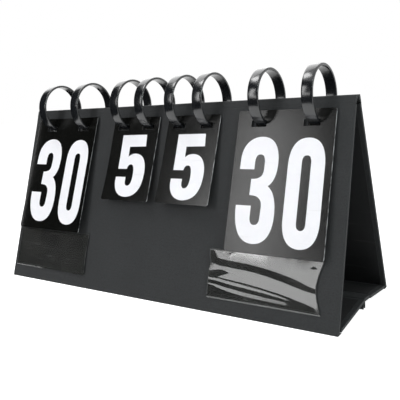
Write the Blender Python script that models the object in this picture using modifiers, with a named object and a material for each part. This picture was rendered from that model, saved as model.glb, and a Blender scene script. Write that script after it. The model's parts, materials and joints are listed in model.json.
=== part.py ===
# Tabletop scoreboard: a folding tent of covered board, with flip cards on eight plastic rings.
# Metres, +Z up. X runs along the ridge, the front panel faces -Y, and the feet stand on Z = 0.

import math

import bmesh
import bpy

# Overall sizes of the tent
BOARD_LENGTH = 0.385
PANEL_SLANT = 0.1874
RIDGE_ANGLE = math.radians(34.1)
FOLDED_ANGLE = math.radians(3.6)
RIDGE_HALF_WIDTH = 0.0044
RIDGE_BAND = 0.0075
TOUCH_GAP = 0.0003

# Layers of a panel and of a base flap
PANEL_COVER = 0.0005
PANEL_CORE = 0.0018
PANEL_LINING = 0.0005
FLAP_COVER = 0.0004
FLAP_CORE = 0.0014
FLAP_LINING = 0.0004
RIDGE_STRIP = 0.0011
FOOT_STRIP = 0.0004
FOOT_STRIP_WIDTH = 0.0022

# Base flaps and their closure
KINK_HEIGHT = 0.0092
KINK_GAP = 0.0012
FLAP_AXIS_HEIGHT = 0.0036
FLAP_START = 0.0012
REAR_BOARD_REACH = 0.0402
LIP_THICKNESS = 0.0008
TAPE_THICKNESS = 0.0010
TAPE_INSET = 0.006
FIN_CLEARANCE = 0.0004

# Rings
RING_INNER = 0.0239
RING_BAND = 0.0024
RING_WIDTH = 0.0102
RING_EDGE = 0.0005
RING_STEPS = 40
RING_RISE = 0.0012
PIVOT_DROP = 0.0002

# Cards
CARD_THICKNESS = 0.0003
CARD_CORNER = 0.002
CARD_SLOT_HEIGHT = 0.006
CARD_SLOT_WIDTH = 0.015
POINTS_CARD = (0.0925, 0.1228)
SETS_CARD = (0.060, 0.085)
POINTS_MARGIN = 0.0088
SETS_MARGIN = 0.0074
CARD_GAP = 0.00035
CARD_SLOT_GAP = 0.0008
FAN_STEP = math.radians(0.3)
FRONT_CARD_OFFSET = 0.0022
LANDING_GAP = 0.0018

# Ring slots in the two panels
PANEL_SLOT_WIDTH = 0.0126
PANEL_SLOT_ABOVE = 0.0013
PANEL_SLOT_BELOW = 0.00035

# Name pockets
POCKET_SIZE = (0.1065, 0.0415)
POCKET_FOOT = 0.0125
POCKET_FILM = 0.0003
POCKET_SEAM = 0.0004
POCKET_SEAM_WIDTH = 0.004
POCKET_END_GAP = {"left": 0.0042, "right": 0.0155}

# The two kinds of card: size, height of card above the slots, last number, ring pitch, and how many
# numbers go in each joined bundle behind the rear panel
KINDS = {
    "points": dict(card=POINTS_CARD, margin=POINTS_MARGIN, last=30, pitch=0.050, bundle=6),
    "sets": dict(card=SETS_CARD, margin=SETS_MARGIN, last=5, pitch=0.0324, bundle=1),
}

# Each stack: X of the middle of its ring pair, sideways shift of its cards on the rings, and tilt of
# its front card in degrees. The point stacks are set in from the board's ends, the set stacks off its
# middle.
HALF_BOARD = BOARD_LENGTH / 2
STACKS = {
    "left_points": dict(middle=0.0582 - HALF_BOARD, shift=-0.002, tilt=3.0, **KINDS["points"]),
    "left_sets": dict(middle=-0.0355, shift=0.0005, tilt=3.6, **KINDS["sets"]),
    "right_sets": dict(middle=0.0343, shift=0.0018, tilt=3.6, **KINDS["sets"]),
    "right_points": dict(middle=HALF_BOARD - 0.0583, shift=-0.002, tilt=1.4, **KINDS["points"]),
}

# Derived sizes
LEAN = RIDGE_ANGLE / 2
SIN = math.sin(LEAN)
COS = math.cos(LEAN)
RIDGE_HEIGHT = PANEL_SLANT * COS
HALF_BASE = RIDGE_HALF_WIDTH + PANEL_SLANT * SIN
PANEL_THICKNESS = PANEL_COVER + PANEL_CORE + PANEL_LINING + 2 * TOUCH_GAP
FLAP_THICKNESS = FLAP_COVER + FLAP_CORE + FLAP_LINING + 2 * TOUCH_GAP
PIVOT_HEIGHT = RIDGE_HEIGHT - PIVOT_DROP
RING_OUTER = RING_INNER + RING_BAND
RING_MIDDLE = RING_INNER + RING_BAND / 2
RING_HEIGHT = RIDGE_HEIGHT + RING_RISE
# Distance from the rings' centre line to the plane of a panel's outer face
FACE_DISTANCE = RIDGE_HALF_WIDTH * COS - RING_RISE * SIN
# Height on the slope of the point of a panel that is nearest to the rings' centre line
FOOT_OF_CENTRE = PANEL_SLANT + RIDGE_HALF_WIDTH * SIN + RING_RISE * COS


def flap_axis():
    """Y and Z of the front flap's fold line, on the front panel's inner side."""
    inset = PANEL_THICKNESS + TOUCH_GAP
    slope = (FLAP_AXIS_HEIGHT + inset * SIN) / COS
    return -HALF_BASE + slope * SIN + inset * COS, FLAP_AXIS_HEIGHT


FLAP_AXIS_Y, FLAP_AXIS_Z = flap_axis()
FLAP_RISE = math.atan2(KINK_HEIGHT - FLAP_AXIS_Z, -FLAP_AXIS_Y - KINK_GAP / 2)
FLAP_REACH = math.hypot(KINK_HEIGHT - FLAP_AXIS_Z, -FLAP_AXIS_Y - KINK_GAP / 2)
FLAP_SWING = math.pi / 2 - LEAN - FLAP_RISE


def clear_scene():
    for item in list(bpy.data.objects):
        bpy.data.objects.remove(item, do_unlink=True)


def new_collection(name):
    collection = bpy.data.collections.new(name)
    bpy.context.scene.collection.children.link(collection)
    return collection


clear_scene()
PARTS = new_collection("tabletop_scoreboard")
CUTTERS = new_collection("cutters")


def make_material(name, colour, roughness, metallic=0.0, alpha=1.0):
    material = bpy.data.materials.new(name)
    material.use_nodes = True
    shader = material.node_tree.nodes["Principled BSDF"]
    shader.inputs["Base Color"].default_value = (*colour, 1.0)
    shader.inputs["Roughness"].default_value = roughness
    shader.inputs["Metallic"].default_value = metallic
    shader.inputs["Alpha"].default_value = alpha
    return material


COVER_VINYL = make_material("cover_vinyl", (0.030, 0.031, 0.032), 0.55)
LINING_PAPER = make_material("lining_paper", (0.022, 0.022, 0.023), 0.80)
GREYBOARD = make_material("greyboard", (0.30, 0.28, 0.25), 0.90)
RING_PLASTIC = make_material("ring_plastic", (0.018, 0.019, 0.021), 0.18)
CARD_PLASTIC = make_material("card_plastic", (0.020, 0.020, 0.018), 0.40)
CLEAR_FILM = make_material("clear_film", (0.12, 0.12, 0.12), 0.08, alpha=0.35)
WELD_SEAM = make_material("weld_seam", (0.035, 0.035, 0.037), 0.30)
HOOK_AND_LOOP = make_material("hook_and_loop", (0.015, 0.015, 0.015), 0.95)


def add_object(name, data, material, parent=None, location=(0, 0, 0), rotation=(0, 0, 0), group=PARTS):
    item = bpy.data.objects.new(name, data)
    group.objects.link(item)
    item.parent = parent
    item.location = location
    item.rotation_euler = rotation
    if material is not None:
        item.data.materials.append(material)
    return item


def add_empty(name, location, tilt=0.0, parent=None):
    """A frame whose rotation about X is tilt."""
    return add_object(name, None, None, parent, location, (tilt, 0, 0))


def box_mesh(name, low, high):
    mesh = bpy.data.meshes.new(name)
    shape = bmesh.new()
    bmesh.ops.create_cube(shape, size=1.0)
    for vertex in shape.verts:
        for axis in range(3):
            vertex.co[axis] = low[axis] if vertex.co[axis] < 0 else high[axis]
    shape.to_mesh(mesh)
    shape.free()
    return mesh


def add_box(name, low, high, material, parent, group=PARTS):
    return add_object(name, box_mesh(name, low, high), material, parent, group=group)


def add_cutter(name, boxes, parent):
    """One cutter object made of separate boxes, each a (low, high) pair."""
    shape = bmesh.new()
    for low, high in boxes:
        shape.from_mesh(box_mesh(name, low, high))
    mesh = bpy.data.meshes.new(name)
    shape.to_mesh(mesh)
    shape.free()
    cutter = add_object(name, mesh, None, parent, group=CUTTERS)
    cutter.hide_render = True
    cutter.display_type = "WIRE"
    return cutter


def cut(item, cutter):
    modifier = item.modifiers.new(cutter.name, "BOOLEAN")
    modifier.operation = "DIFFERENCE"
    modifier.object = cutter


def rounded_rectangle(low, high, radius=0.0, steps=3):
    if radius == 0.0:
        return [(low[0], low[1]), (high[0], low[1]), (high[0], high[1]), (low[0], high[1])]
    centres = [
        (high[0] - radius, high[1] - radius),
        (low[0] + radius, high[1] - radius),
        (low[0] + radius, low[1] + radius),
        (high[0] - radius, low[1] + radius),
    ]
    points = []
    for quarter, (x, y) in enumerate(centres):
        for step in range(steps + 1):
            angle = (quarter + step / steps) * math.pi / 2
            points.append((x + radius * math.cos(angle), y + radius * math.sin(angle)))
    return points


def outline_curve(name, loops, thickness):
    """A filled flat outline. Loops inside the first one are holes."""
    curve = bpy.data.curves.new(name, "CURVE")
    curve.dimensions = "2D"
    curve.fill_mode = "BOTH"
    curve.extrude = thickness / 2
    for loop in loops:
        spline = curve.splines.new("POLY")
        spline.points.add(len(loop) - 1)
        for point, (x, y) in zip(spline.points, loop):
            point.co = (x, y, 0, 1)
        spline.use_cyclic_u = True
    return curve


def add_profile(name, loop, length, material, parent=None):
    """A cross-section in the parent's YZ plane, drawn out along X about its middle."""
    curve = outline_curve(name, [loop], length)
    return add_object(name, curve, material, parent, rotation=(math.pi / 2, 0, math.pi / 2))


# Frames of the panels: local Y runs up the slope from the foot. The front frame's Z points out of
# the tent, and the rear frame's Z points into it.
front_frame = add_empty("front_frame", (0, -HALF_BASE, 0), math.pi / 2 - LEAN)
ridge_axis = add_empty("ridge_axis", (0, 0, PIVOT_HEIGHT))
rear_frame = add_empty("rear_frame", (0, HALF_BASE, -PIVOT_HEIGHT), math.pi / 2 + LEAN, ridge_axis)
front_flap_frame = add_empty("front_flap_axis", (0, FLAP_AXIS_Y, FLAP_AXIS_Z), FLAP_RISE)
rear_flap_frame = add_empty(
    "rear_flap_axis", (0, -FLAP_AXIS_Y, FLAP_AXIS_Z - PIVOT_HEIGHT), math.pi - FLAP_RISE, ridge_axis
)
floor_cutter = add_cutter("floor_cutter", [((-0.5, -0.5, -0.05), (0.5, 0.5, 0))], None)


def ring_places():
    """X of every ring, from left to right."""
    places = []
    for stack in STACKS.values():
        places.append(stack["middle"] - stack["pitch"] / 2)
        places.append(stack["middle"] + stack["pitch"] / 2)
    return places


def panel_slot_span():
    """Lower and upper end of a panel's ring slots, as heights on the slope."""
    nearest = FACE_DISTANCE - PANEL_THICKNESS
    lowest = FOOT_OF_CENTRE - math.sqrt(RING_OUTER ** 2 - max(nearest, 0) ** 2)
    highest = FOOT_OF_CENTRE - math.sqrt(RING_INNER ** 2 - FACE_DISTANCE ** 2)
    return lowest - PANEL_SLOT_BELOW, highest + PANEL_SLOT_ABOVE


def layer(side, outer, inner):
    """Z range, in a panel frame, of a layer between two depths under the outer face."""
    if side == "front":
        return -inner, -outer
    return outer, inner


def build_panel(side, frame):
    """Greyboard core, turned-in vinyl cover and lining of one panel, with the ring slots cut."""
    half = BOARD_LENGTH / 2
    top = PANEL_SLANT - RIDGE_BAND
    foot = -PANEL_THICKNESS
    inside = half - PANEL_COVER
    reach = 2 * PANEL_THICKNESS
    low_z, high_z = layer(side, 0, PANEL_THICKNESS)
    cavity_low, cavity_high = layer(side, PANEL_COVER, reach)
    slot_low, slot_high = panel_slot_span()
    slots = []
    for place in ring_places():
        left = place - PANEL_SLOT_WIDTH / 2
        right = place + PANEL_SLOT_WIDTH / 2
        slots.append(((left, slot_low, -reach), (right, slot_high, reach)))
    slot_cutter = add_cutter(side + "_slot_cutter", slots, frame)

    # The cover's lower turn-in stands square on the table, so the core starts above it
    core_foot = (PANEL_COVER + PANEL_THICKNESS * SIN) / COS + TOUCH_GAP
    cover = add_box(side + "_cover", (-half, foot, low_z), (half, top, high_z), COVER_VINYL, frame)
    hollow = add_cutter(
        side + "_cover_hollow",
        [((-inside, core_foot - TOUCH_GAP, cavity_low), (inside, top - PANEL_COVER, cavity_high))],
        frame,
    )
    cut(cover, hollow)
    cut(cover, floor_cutter)
    cut(cover, slot_cutter)

    room = inside - TOUCH_GAP
    core_top = top - PANEL_COVER - TOUCH_GAP
    core_outer = PANEL_COVER + TOUCH_GAP
    core_low, core_high = layer(side, core_outer, core_outer + PANEL_CORE)
    board = add_box(
        side + "_board", (-room, core_foot, core_low), (room, core_top, core_high), GREYBOARD, frame
    )
    cut(board, slot_cutter)
    lining_low, lining_high = layer(side, PANEL_THICKNESS - PANEL_LINING, PANEL_THICKNESS)
    lining = add_box(
        side + "_lining", (-room, core_foot, lining_low), (room, core_top, lining_high), LINING_PAPER, frame
    )
    cut(lining, slot_cutter)


build_panel("front", front_frame)
build_panel("rear", rear_frame)


def build_ridge_hinge():
    """The bare strip of cover that bends over the ridge between the two panels."""
    depth = RIDGE_BAND - TOUCH_GAP
    outer_foot = (-RIDGE_HALF_WIDTH - depth * SIN, RIDGE_HEIGHT - depth * COS)
    inner_foot = (outer_foot[0] + RIDGE_STRIP * COS, outer_foot[1] - RIDGE_STRIP * SIN)
    turn = math.pi / 2 - LEAN
    radius = RIDGE_STRIP
    outer = [outer_foot]
    inner = [inner_foot]
    centre_y = -RIDGE_HALF_WIDTH + radius * math.tan(turn / 2)
    centre_z = RIDGE_HEIGHT - radius
    for step in range(4):
        angle = math.pi - LEAN - turn * step / 3
        outer.append((centre_y + radius * math.cos(angle), centre_z + radius * math.sin(angle)))
    inner_top = RIDGE_HEIGHT - RIDGE_STRIP
    climb = (inner_top - inner_foot[1]) * math.tan(LEAN)
    inner.append((inner_foot[0] + climb, inner_top))
    left = outer + [(-y, z) for y, z in reversed(outer)]
    under = inner + [(-y, z) for y, z in reversed(inner)]
    add_profile("ridge_hinge", left + list(reversed(under)), BOARD_LENGTH, COVER_VINYL)


build_ridge_hinge()


def build_flap(side, frame, reach):
    """Core, turned-in cover and lining of one base flap, hung from its fold line."""
    half = BOARD_LENGTH / 2
    inside = half - FLAP_COVER
    down = -1 if side == "front" else 1

    def across(first, second):
        """Z range between two depths under the flap's upper face."""
        return min(down * first, down * second), max(down * first, down * second)

    low_z, high_z = across(0, FLAP_THICKNESS)
    cover = add_box(
        side + "_flap_cover", (-half, FLAP_START, low_z), (half, reach, high_z), COVER_VINYL, frame
    )
    hollow_low, hollow_high = across(-FLAP_THICKNESS, FLAP_THICKNESS - FLAP_COVER)
    start = FLAP_START + FLAP_COVER
    end = reach - FLAP_COVER
    hollow = add_cutter(
        side + "_flap_hollow", [((-inside, start, hollow_low), (inside, end, hollow_high))], frame
    )
    cut(cover, hollow)
    room = inside - TOUCH_GAP
    start += TOUCH_GAP
    end -= TOUCH_GAP
    lining_low, lining_high = across(0, FLAP_LINING)
    add_box(
        side + "_flap_lining", (-room, start, lining_low), (room, end, lining_high), LINING_PAPER, frame
    )
    core_top = FLAP_LINING + TOUCH_GAP
    core_low, core_high = across(core_top, core_top + FLAP_CORE)
    add_box(side + "_flap_board", (-room, start, core_low), (room, end, core_high), GREYBOARD, frame)


build_flap("front", front_flap_frame, FLAP_REACH)
build_flap("rear", rear_flap_frame, REAR_BOARD_REACH)


def in_flap_frame(side, y, z):
    """World Y and Z turned into the side's flap frame."""
    if side == "front":
        tilt = FLAP_RISE
        origin = (FLAP_AXIS_Y, FLAP_AXIS_Z)
    else:
        tilt = math.pi - FLAP_RISE
        origin = (-FLAP_AXIS_Y, FLAP_AXIS_Z)
    dy = y - origin[0]
    dz = z - origin[1]
    return dy * math.cos(tilt) + dz * math.sin(tilt), dz * math.cos(tilt) - dy * math.sin(tilt)


def in_rear_flap(y, z):
    return in_flap_frame("rear", y, z)


def upright(side, y0, y1, z0, z1):
    """Corners of an upright rectangle, in the side's flap frame."""
    return [in_flap_frame(side, y, z) for y, z in ((y0, z0), (y1, z0), (y1, z1), (y0, z1))]


def build_closure():
    """Hook-and-loop fin under the kink: two bare cover lips that hang down with a tape on each."""
    half_tape = TAPE_THICKNESS + TOUCH_GAP / 2
    inner = half_tape + TOUCH_GAP
    outer = inner + LIP_THICKNESS
    flap_under = KINK_HEIGHT - FLAP_THICKNESS / math.cos(FLAP_RISE)
    top = flap_under - outer * math.tan(FLAP_RISE) - TOUCH_GAP
    tape_low = FIN_CLEARANCE + TOUCH_GAP
    length = BOARD_LENGTH - 2 * TOUCH_GAP
    tape_length = BOARD_LENGTH - 2 * TAPE_INSET
    add_profile(
        "front_closure_lip", upright("front", -outer, -inner, FIN_CLEARANCE, top), length, COVER_VINYL,
        front_flap_frame,
    )
    add_profile(
        "hook_tape", upright("front", -half_tape, -TOUCH_GAP / 2, tape_low, top), tape_length,
        HOOK_AND_LOOP, front_flap_frame,
    )
    add_profile(
        "loop_tape", upright("rear", TOUCH_GAP / 2, half_tape, tape_low, top), tape_length,
        HOOK_AND_LOOP, rear_flap_frame,
    )
    # The rear lip carries on from the rear flap's board to the kink, then turns down
    start = REAR_BOARD_REACH + TOUCH_GAP
    bend = in_rear_flap(outer, flap_under - outer * math.tan(FLAP_RISE))
    bend_inner = in_rear_flap(inner, flap_under - inner * math.tan(FLAP_RISE))
    loop = [
        (start, 0),
        (FLAP_REACH, 0),
        (FLAP_REACH, FLAP_THICKNESS),
        bend_inner,
        in_rear_flap(inner, FIN_CLEARANCE),
        in_rear_flap(outer, FIN_CLEARANCE),
        bend,
        (start, FLAP_THICKNESS),
    ]
    add_profile("rear_closure_lip", loop, length, COVER_VINYL, rear_flap_frame)


build_closure()


def build_foot_hinge(side, frame):
    """The strip of cover that joins a panel's foot to its base flap."""
    inner_foot = -HALF_BASE + PANEL_THICKNESS / COS
    y0 = inner_foot + TOUCH_GAP
    y1 = y0 + FOOT_STRIP_WIDTH
    z1 = TOUCH_GAP / 2 + FOOT_STRIP
    loop = [(y0, TOUCH_GAP / 2), (y1, TOUCH_GAP / 2), (y1, z1), (y0, z1)]
    if side == "rear":
        loop = [(-y, z - PIVOT_HEIGHT) for y, z in reversed(loop)]
    add_profile(side + "_foot_hinge", loop, BOARD_LENGTH, COVER_VINYL, frame)


build_foot_hinge("front", None)
build_foot_hinge("rear", ridge_axis)


def ring_mesh():
    """A flat band with eased edges, turned about X."""
    half = RING_WIDTH / 2
    corners = [
        (-half + RING_EDGE, RING_INNER),
        (half - RING_EDGE, RING_INNER),
        (half, RING_INNER + RING_EDGE),
        (half, RING_OUTER - RING_EDGE),
        (half - RING_EDGE, RING_OUTER),
        (-half + RING_EDGE, RING_OUTER),
        (-half, RING_OUTER - RING_EDGE),
        (-half, RING_INNER + RING_EDGE),
    ]
    mesh = bpy.data.meshes.new("ring_profile")
    edges = [(index, (index + 1) % len(corners)) for index in range(len(corners))]
    mesh.from_pydata([(x, 0, z) for x, z in corners], edges, [])
    return mesh


def build_rings():
    """The eight rings. The left ring of a pair hangs in the front panel, the right one in the rear."""
    rings = []
    for number, place in enumerate(ring_places(), start=1):
        if number % 2:
            parent, height = None, RING_HEIGHT
        else:
            parent, height = ridge_axis, RING_HEIGHT - PIVOT_HEIGHT
        name = f"ring_{number}"
        mesh = ring_mesh()
        ring = add_object(name, mesh, RING_PLASTIC, parent, (place, 0, height))
        screw = ring.modifiers.new("turned_band", "SCREW")
        screw.axis = "X"
        screw.steps = RING_STEPS
        screw.render_steps = RING_STEPS
        screw.use_merge_vertices = True
        screw.merge_threshold = 0.00001
        screw.use_normal_calculate = True
        rings.append(ring)
    return rings


RINGS = build_rings()


def on_ring(offset):
    """Angle from straight down, at the rings' centre, of a point this far off the panel's face."""
    return LEAN + math.asin((FACE_DISTANCE + offset) / RING_MIDDLE)


def line_distance(offset, tilt):
    """Distance from the rings' centre line to a card that crosses the ring there, tilted outwards."""
    return RING_MIDDLE * math.sin(on_ring(offset) - LEAN - tilt)


def slot_top(distances, thickness):
    """How far above its ring a card's slot must reach, for each distance that the card takes."""
    reach = 0.0
    for distance in distances:
        far = abs(distance) + thickness / 2
        middle = math.sqrt(RING_MIDDLE ** 2 - distance ** 2)
        inner = math.sqrt(RING_INNER ** 2 - far ** 2)
        reach = max(reach, middle - inner)
    return reach + CARD_SLOT_GAP


def build_card(name, stack, side, offset, tilt, thickness, landing, parent):
    """A card, or a bundle of cards, hung by two slots on the rings of its stack.

    landing is the offset and tilt that the card takes when it is turned over, or None.
    """
    width, height = stack["card"]
    angle = on_ring(offset)
    way = -1 if side == "front" else 1
    place = (
        stack["middle"] + stack["shift"],
        way * RING_MIDDLE * math.sin(angle),
        RING_HEIGHT - RING_MIDDLE * math.cos(angle),
    )
    distances = [line_distance(offset, tilt)]
    if landing is not None:
        distances.append(line_distance(*landing))
    upper = slot_top(distances, thickness)
    lower = upper - CARD_SLOT_HEIGHT
    card_top = upper + stack["margin"]
    loops = [rounded_rectangle((-width / 2, card_top - height), (width / 2, card_top), CARD_CORNER)]
    for way_x in (-1, 1):
        middle = way_x * stack["pitch"] / 2
        left = middle - CARD_SLOT_WIDTH / 2
        right = middle + CARD_SLOT_WIDTH / 2
        loops.append(rounded_rectangle((left, lower), (right, upper)))
    curve = outline_curve(name, loops, thickness)
    turn = math.pi / 2 + way * (LEAN + tilt)
    origin = parent.matrix_world.translation
    location = [place[axis] - origin[axis] for axis in range(3)]
    return add_object(name, curve, CARD_PLASTIC, parent, location, (turn, 0, 0))


def build_stack(name, stack, front_ring, rear_ring):
    """One stack of cards: the last number in front, the one before it and the rest behind."""
    last = stack["last"]
    bundle = stack["bundle"]
    face = CARD_GAP
    fan = 0.0
    first = 0
    while first < last - 1:
        count = min(bundle, last - 1 - first)
        thickness = count * CARD_THICKNESS
        if count == 1:
            label = f"{name}_card_{first}"
        else:
            label = f"{name}_cards_{first:02d}_{first + count - 1:02d}"
        fan += FAN_STEP
        build_card(label, stack, "rear", face + thickness / 2, fan, thickness, None, ridge_axis)
        face += thickness + CARD_GAP
        first += count
    fan += FAN_STEP
    rear_offset = face + CARD_THICKNESS / 2
    front_tilt = math.radians(stack["tilt"])
    step = CARD_THICKNESS + LANDING_GAP
    front_landing = (FRONT_CARD_OFFSET + step, front_tilt + FAN_STEP)
    rear_landing = (rear_offset + step, fan + FAN_STEP)
    front_rest = (FRONT_CARD_OFFSET, front_tilt)
    rear_rest = (rear_offset, fan)
    build_card(f"{name}_card_{last}", stack, "front", *front_rest, CARD_THICKNESS, rear_landing, front_ring)
    build_card(f"{name}_card_{last - 1}", stack, "rear", *rear_rest, CARD_THICKNESS, front_landing, rear_ring)
    return {"front": (front_rest, rear_landing), "rear": (rear_rest, front_landing)}


bpy.context.view_layer.update()
TURNS = {}
for order, (stack_name, stack_sizes) in enumerate(STACKS.items()):
    TURNS[stack_name] = build_stack(stack_name, stack_sizes, RINGS[2 * order], RINGS[2 * order + 1])


def build_pocket(side):
    """Clear film welded to the front panel on three sides and open at the top, for a name card."""
    width, height = POCKET_SIZE
    if side == "left":
        left = POCKET_END_GAP[side] - HALF_BOARD
    else:
        left = HALF_BOARD - POCKET_END_GAP[side] - width
    right = left + width
    top = POCKET_FOOT + height
    inner_left = left + POCKET_SEAM_WIDTH
    inner_right = right - POCKET_SEAM_WIDTH
    inner_foot = POCKET_FOOT + POCKET_SEAM_WIDTH
    seam = [
        (left, POCKET_FOOT), (right, POCKET_FOOT), (right, top), (inner_right, top),
        (inner_right, inner_foot), (inner_left, inner_foot), (inner_left, top), (left, top),
    ]
    seam_height = TOUCH_GAP + POCKET_SEAM / 2
    curve = outline_curve(side + "_pocket_seam", [seam], POCKET_SEAM)
    add_object(side + "_pocket_seam", curve, WELD_SEAM, front_frame, (0, 0, seam_height))
    film_height = 2 * TOUCH_GAP + POCKET_SEAM + POCKET_FILM / 2
    film = rounded_rectangle((left, POCKET_FOOT), (right, top))
    curve = outline_curve(side + "_pocket_film", [film], POCKET_FILM)
    add_object(side + "_pocket_film", curve, CLEAR_FILM, front_frame, (0, 0, film_height))


build_pocket("left")
build_pocket("right")
bpy.context.view_layer.update()
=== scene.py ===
# Tabletop flip scoreboard: a folding tent of covered board, with number cards on plastic rings.
# Metres, +Z up. X runs along the ridge, and the front panel faces -Y.

import json
import math

import bmesh
import bpy
from mathutils import Matrix, Vector, noise
from mathutils.geometry import delaunay_2d_cdt
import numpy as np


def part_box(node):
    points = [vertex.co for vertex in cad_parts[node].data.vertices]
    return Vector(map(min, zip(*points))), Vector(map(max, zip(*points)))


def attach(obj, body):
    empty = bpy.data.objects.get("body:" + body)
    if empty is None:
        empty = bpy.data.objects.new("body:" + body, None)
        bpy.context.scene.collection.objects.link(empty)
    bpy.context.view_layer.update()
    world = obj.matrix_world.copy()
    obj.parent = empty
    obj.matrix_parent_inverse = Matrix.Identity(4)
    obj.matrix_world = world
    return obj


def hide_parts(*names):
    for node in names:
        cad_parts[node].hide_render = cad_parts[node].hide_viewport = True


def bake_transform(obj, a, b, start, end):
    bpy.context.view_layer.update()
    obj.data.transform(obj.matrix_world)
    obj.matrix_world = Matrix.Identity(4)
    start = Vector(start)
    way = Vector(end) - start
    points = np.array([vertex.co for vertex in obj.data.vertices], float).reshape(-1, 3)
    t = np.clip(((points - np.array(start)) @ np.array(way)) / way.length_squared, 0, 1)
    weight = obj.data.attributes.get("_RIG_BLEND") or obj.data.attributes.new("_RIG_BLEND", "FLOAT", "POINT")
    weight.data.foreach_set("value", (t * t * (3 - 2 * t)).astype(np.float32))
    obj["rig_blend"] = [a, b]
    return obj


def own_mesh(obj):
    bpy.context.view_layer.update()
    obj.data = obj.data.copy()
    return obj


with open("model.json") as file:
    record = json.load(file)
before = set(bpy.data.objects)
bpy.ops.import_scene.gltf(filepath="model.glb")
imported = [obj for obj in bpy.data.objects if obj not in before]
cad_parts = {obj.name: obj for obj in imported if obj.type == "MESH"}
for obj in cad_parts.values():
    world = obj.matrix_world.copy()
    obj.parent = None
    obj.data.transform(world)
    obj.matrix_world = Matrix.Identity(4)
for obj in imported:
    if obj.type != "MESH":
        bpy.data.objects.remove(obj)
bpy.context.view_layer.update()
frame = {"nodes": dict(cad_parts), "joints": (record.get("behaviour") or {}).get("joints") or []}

# PANEL COVERS
# Charcoal leather-grain vinyl, wrapped round a greyboard panel. It is glued down, turned in round the
# edges as a hem, and punched with eight slots for the rings.
MM = 0.001
RIDGE_HALF_WIDTH = 4.4 * MM
RIDGE_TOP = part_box("ridge_hinge")[1].z
HALF_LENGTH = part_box("ridge_hinge")[1].x
HALF_BASE = -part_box("front_cover")[0].y
LEAN = math.atan2(HALF_BASE - RIDGE_HALF_WIDTH, RIDGE_TOP)
SLANT = math.hypot(HALF_BASE - RIDGE_HALF_WIDTH, RIDGE_TOP)
RIDGE_BAND = 7.5 * MM
COVER_TOP = SLANT - RIDGE_BAND
PANEL_THICKNESS = 3.4 * MM
SKIN = 0.8 * MM
HEM_WIDTH = 10.0 * MM
HEM_DEPTH = (2.7 * MM, 3.1 * MM)
WALL = 1.5 * MM
SLOT_WIDTH = 12.6 * MM
SLOT_SPAN = (163.1 * MM, 167.5 * MM)
SLOT_ROUND = 0.25 * MM
SIDE_ROUND = 0.9 * MM
FOOT_ROUND = 0.5 * MM
HEM_ROUND = 0.15 * MM
RING_PLACES = [(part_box(f"ring_{n}")[0].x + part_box(f"ring_{n}")[1].x) / 2 for n in range(1, 9)]

# Panel frames: local Y runs up the slope from the foot, and local Z points out of the tent
FRONT = Matrix.Translation((0, -HALF_BASE, 0)) @ Matrix.Rotation(math.pi / 2 - LEAN, 4, "X")
REAR = Matrix.Rotation(math.pi, 4, "Z") @ FRONT


def node(tree, kind, inputs=None, **settings):
    """A shader node, with its settings and with values or links for its inputs."""
    made = tree.nodes.new(kind)
    for key, value in settings.items():
        setattr(made, key, value)
    for key, value in (inputs or {}).items():
        if isinstance(value, bpy.types.NodeSocket):
            tree.links.new(value, made.inputs[key])
        else:
            made.inputs[key].default_value = value
    return made


def new_group(name, inputs, outputs):
    """An empty shader group with float inputs and outputs, and its two end nodes."""
    group = bpy.data.node_groups.new(name, "ShaderNodeTree")
    for label, value in inputs.items():
        socket = group.interface.new_socket(label, in_out="INPUT", socket_type="NodeSocketFloat")
        socket.default_value = value
    for label in outputs:
        group.interface.new_socket(label, in_out="OUTPUT", socket_type="NodeSocketFloat")
    return group, node(group, "NodeGroupInput"), node(group, "NodeGroupOutput")


def build_cloudy_tone():
    """Slow changes of tone over a surface, from Low to High."""
    group, given, result = new_group("cloudy_tone", {"Scale": 20.0, "Low": 0.0, "High": 1.0}, ["Tone"])
    place = node(group, "ShaderNodeTexCoord").outputs["Object"]
    cloud = node(group, "ShaderNodeTexNoise", {
        "Vector": place, "Scale": given.outputs["Scale"], "Detail": 4.0, "Roughness": 0.6})
    tone = node(group, "ShaderNodeMapRange", {
        "Value": cloud.outputs["Fac"], "From Min": 0.3, "From Max": 0.7,
        "To Min": given.outputs["Low"], "To Max": given.outputs["High"]})
    group.links.new(tone.outputs["Result"], result.inputs["Tone"])
    return group


def build_leather_grain():
    """Small rounded cells with narrow creases between them, and a finer tooth on top."""
    group, given, result = new_group("leather_grain", {"Scale": 900.0}, ["Height"])
    place = node(group, "ShaderNodeTexCoord").outputs["Object"]
    wander = node(group, "ShaderNodeTexNoise", {"Vector": place, "Scale": 260.0, "Detail": 1.0})
    bent = node(group, "ShaderNodeMixRGB", {
        "Fac": 0.0012, "Color1": place, "Color2": wander.outputs["Color"]}, blend_type="ADD")
    cells = node(group, "ShaderNodeTexVoronoi", {
        "Vector": bent.outputs["Color"], "Scale": given.outputs["Scale"], "Randomness": 0.9},
        feature="DISTANCE_TO_EDGE")
    dome = node(group, "ShaderNodeMapRange", {
        "Value": cells.outputs["Distance"], "From Min": 0.0, "From Max": 0.32},
        interpolation_type="SMOOTHSTEP")
    finer = node(group, "ShaderNodeMath", {0: given.outputs["Scale"], 1: 4.2}, operation="MULTIPLY")
    tooth = node(group, "ShaderNodeTexNoise", {"Vector": place, "Scale": finer.outputs[0], "Detail": 2.0})
    total = node(group, "ShaderNodeMath", {
        0: tooth.outputs["Fac"], 1: 0.3, 2: dome.outputs["Result"]}, operation="MULTIPLY_ADD")
    group.links.new(total.outputs[0], result.inputs["Height"])
    return group


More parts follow.
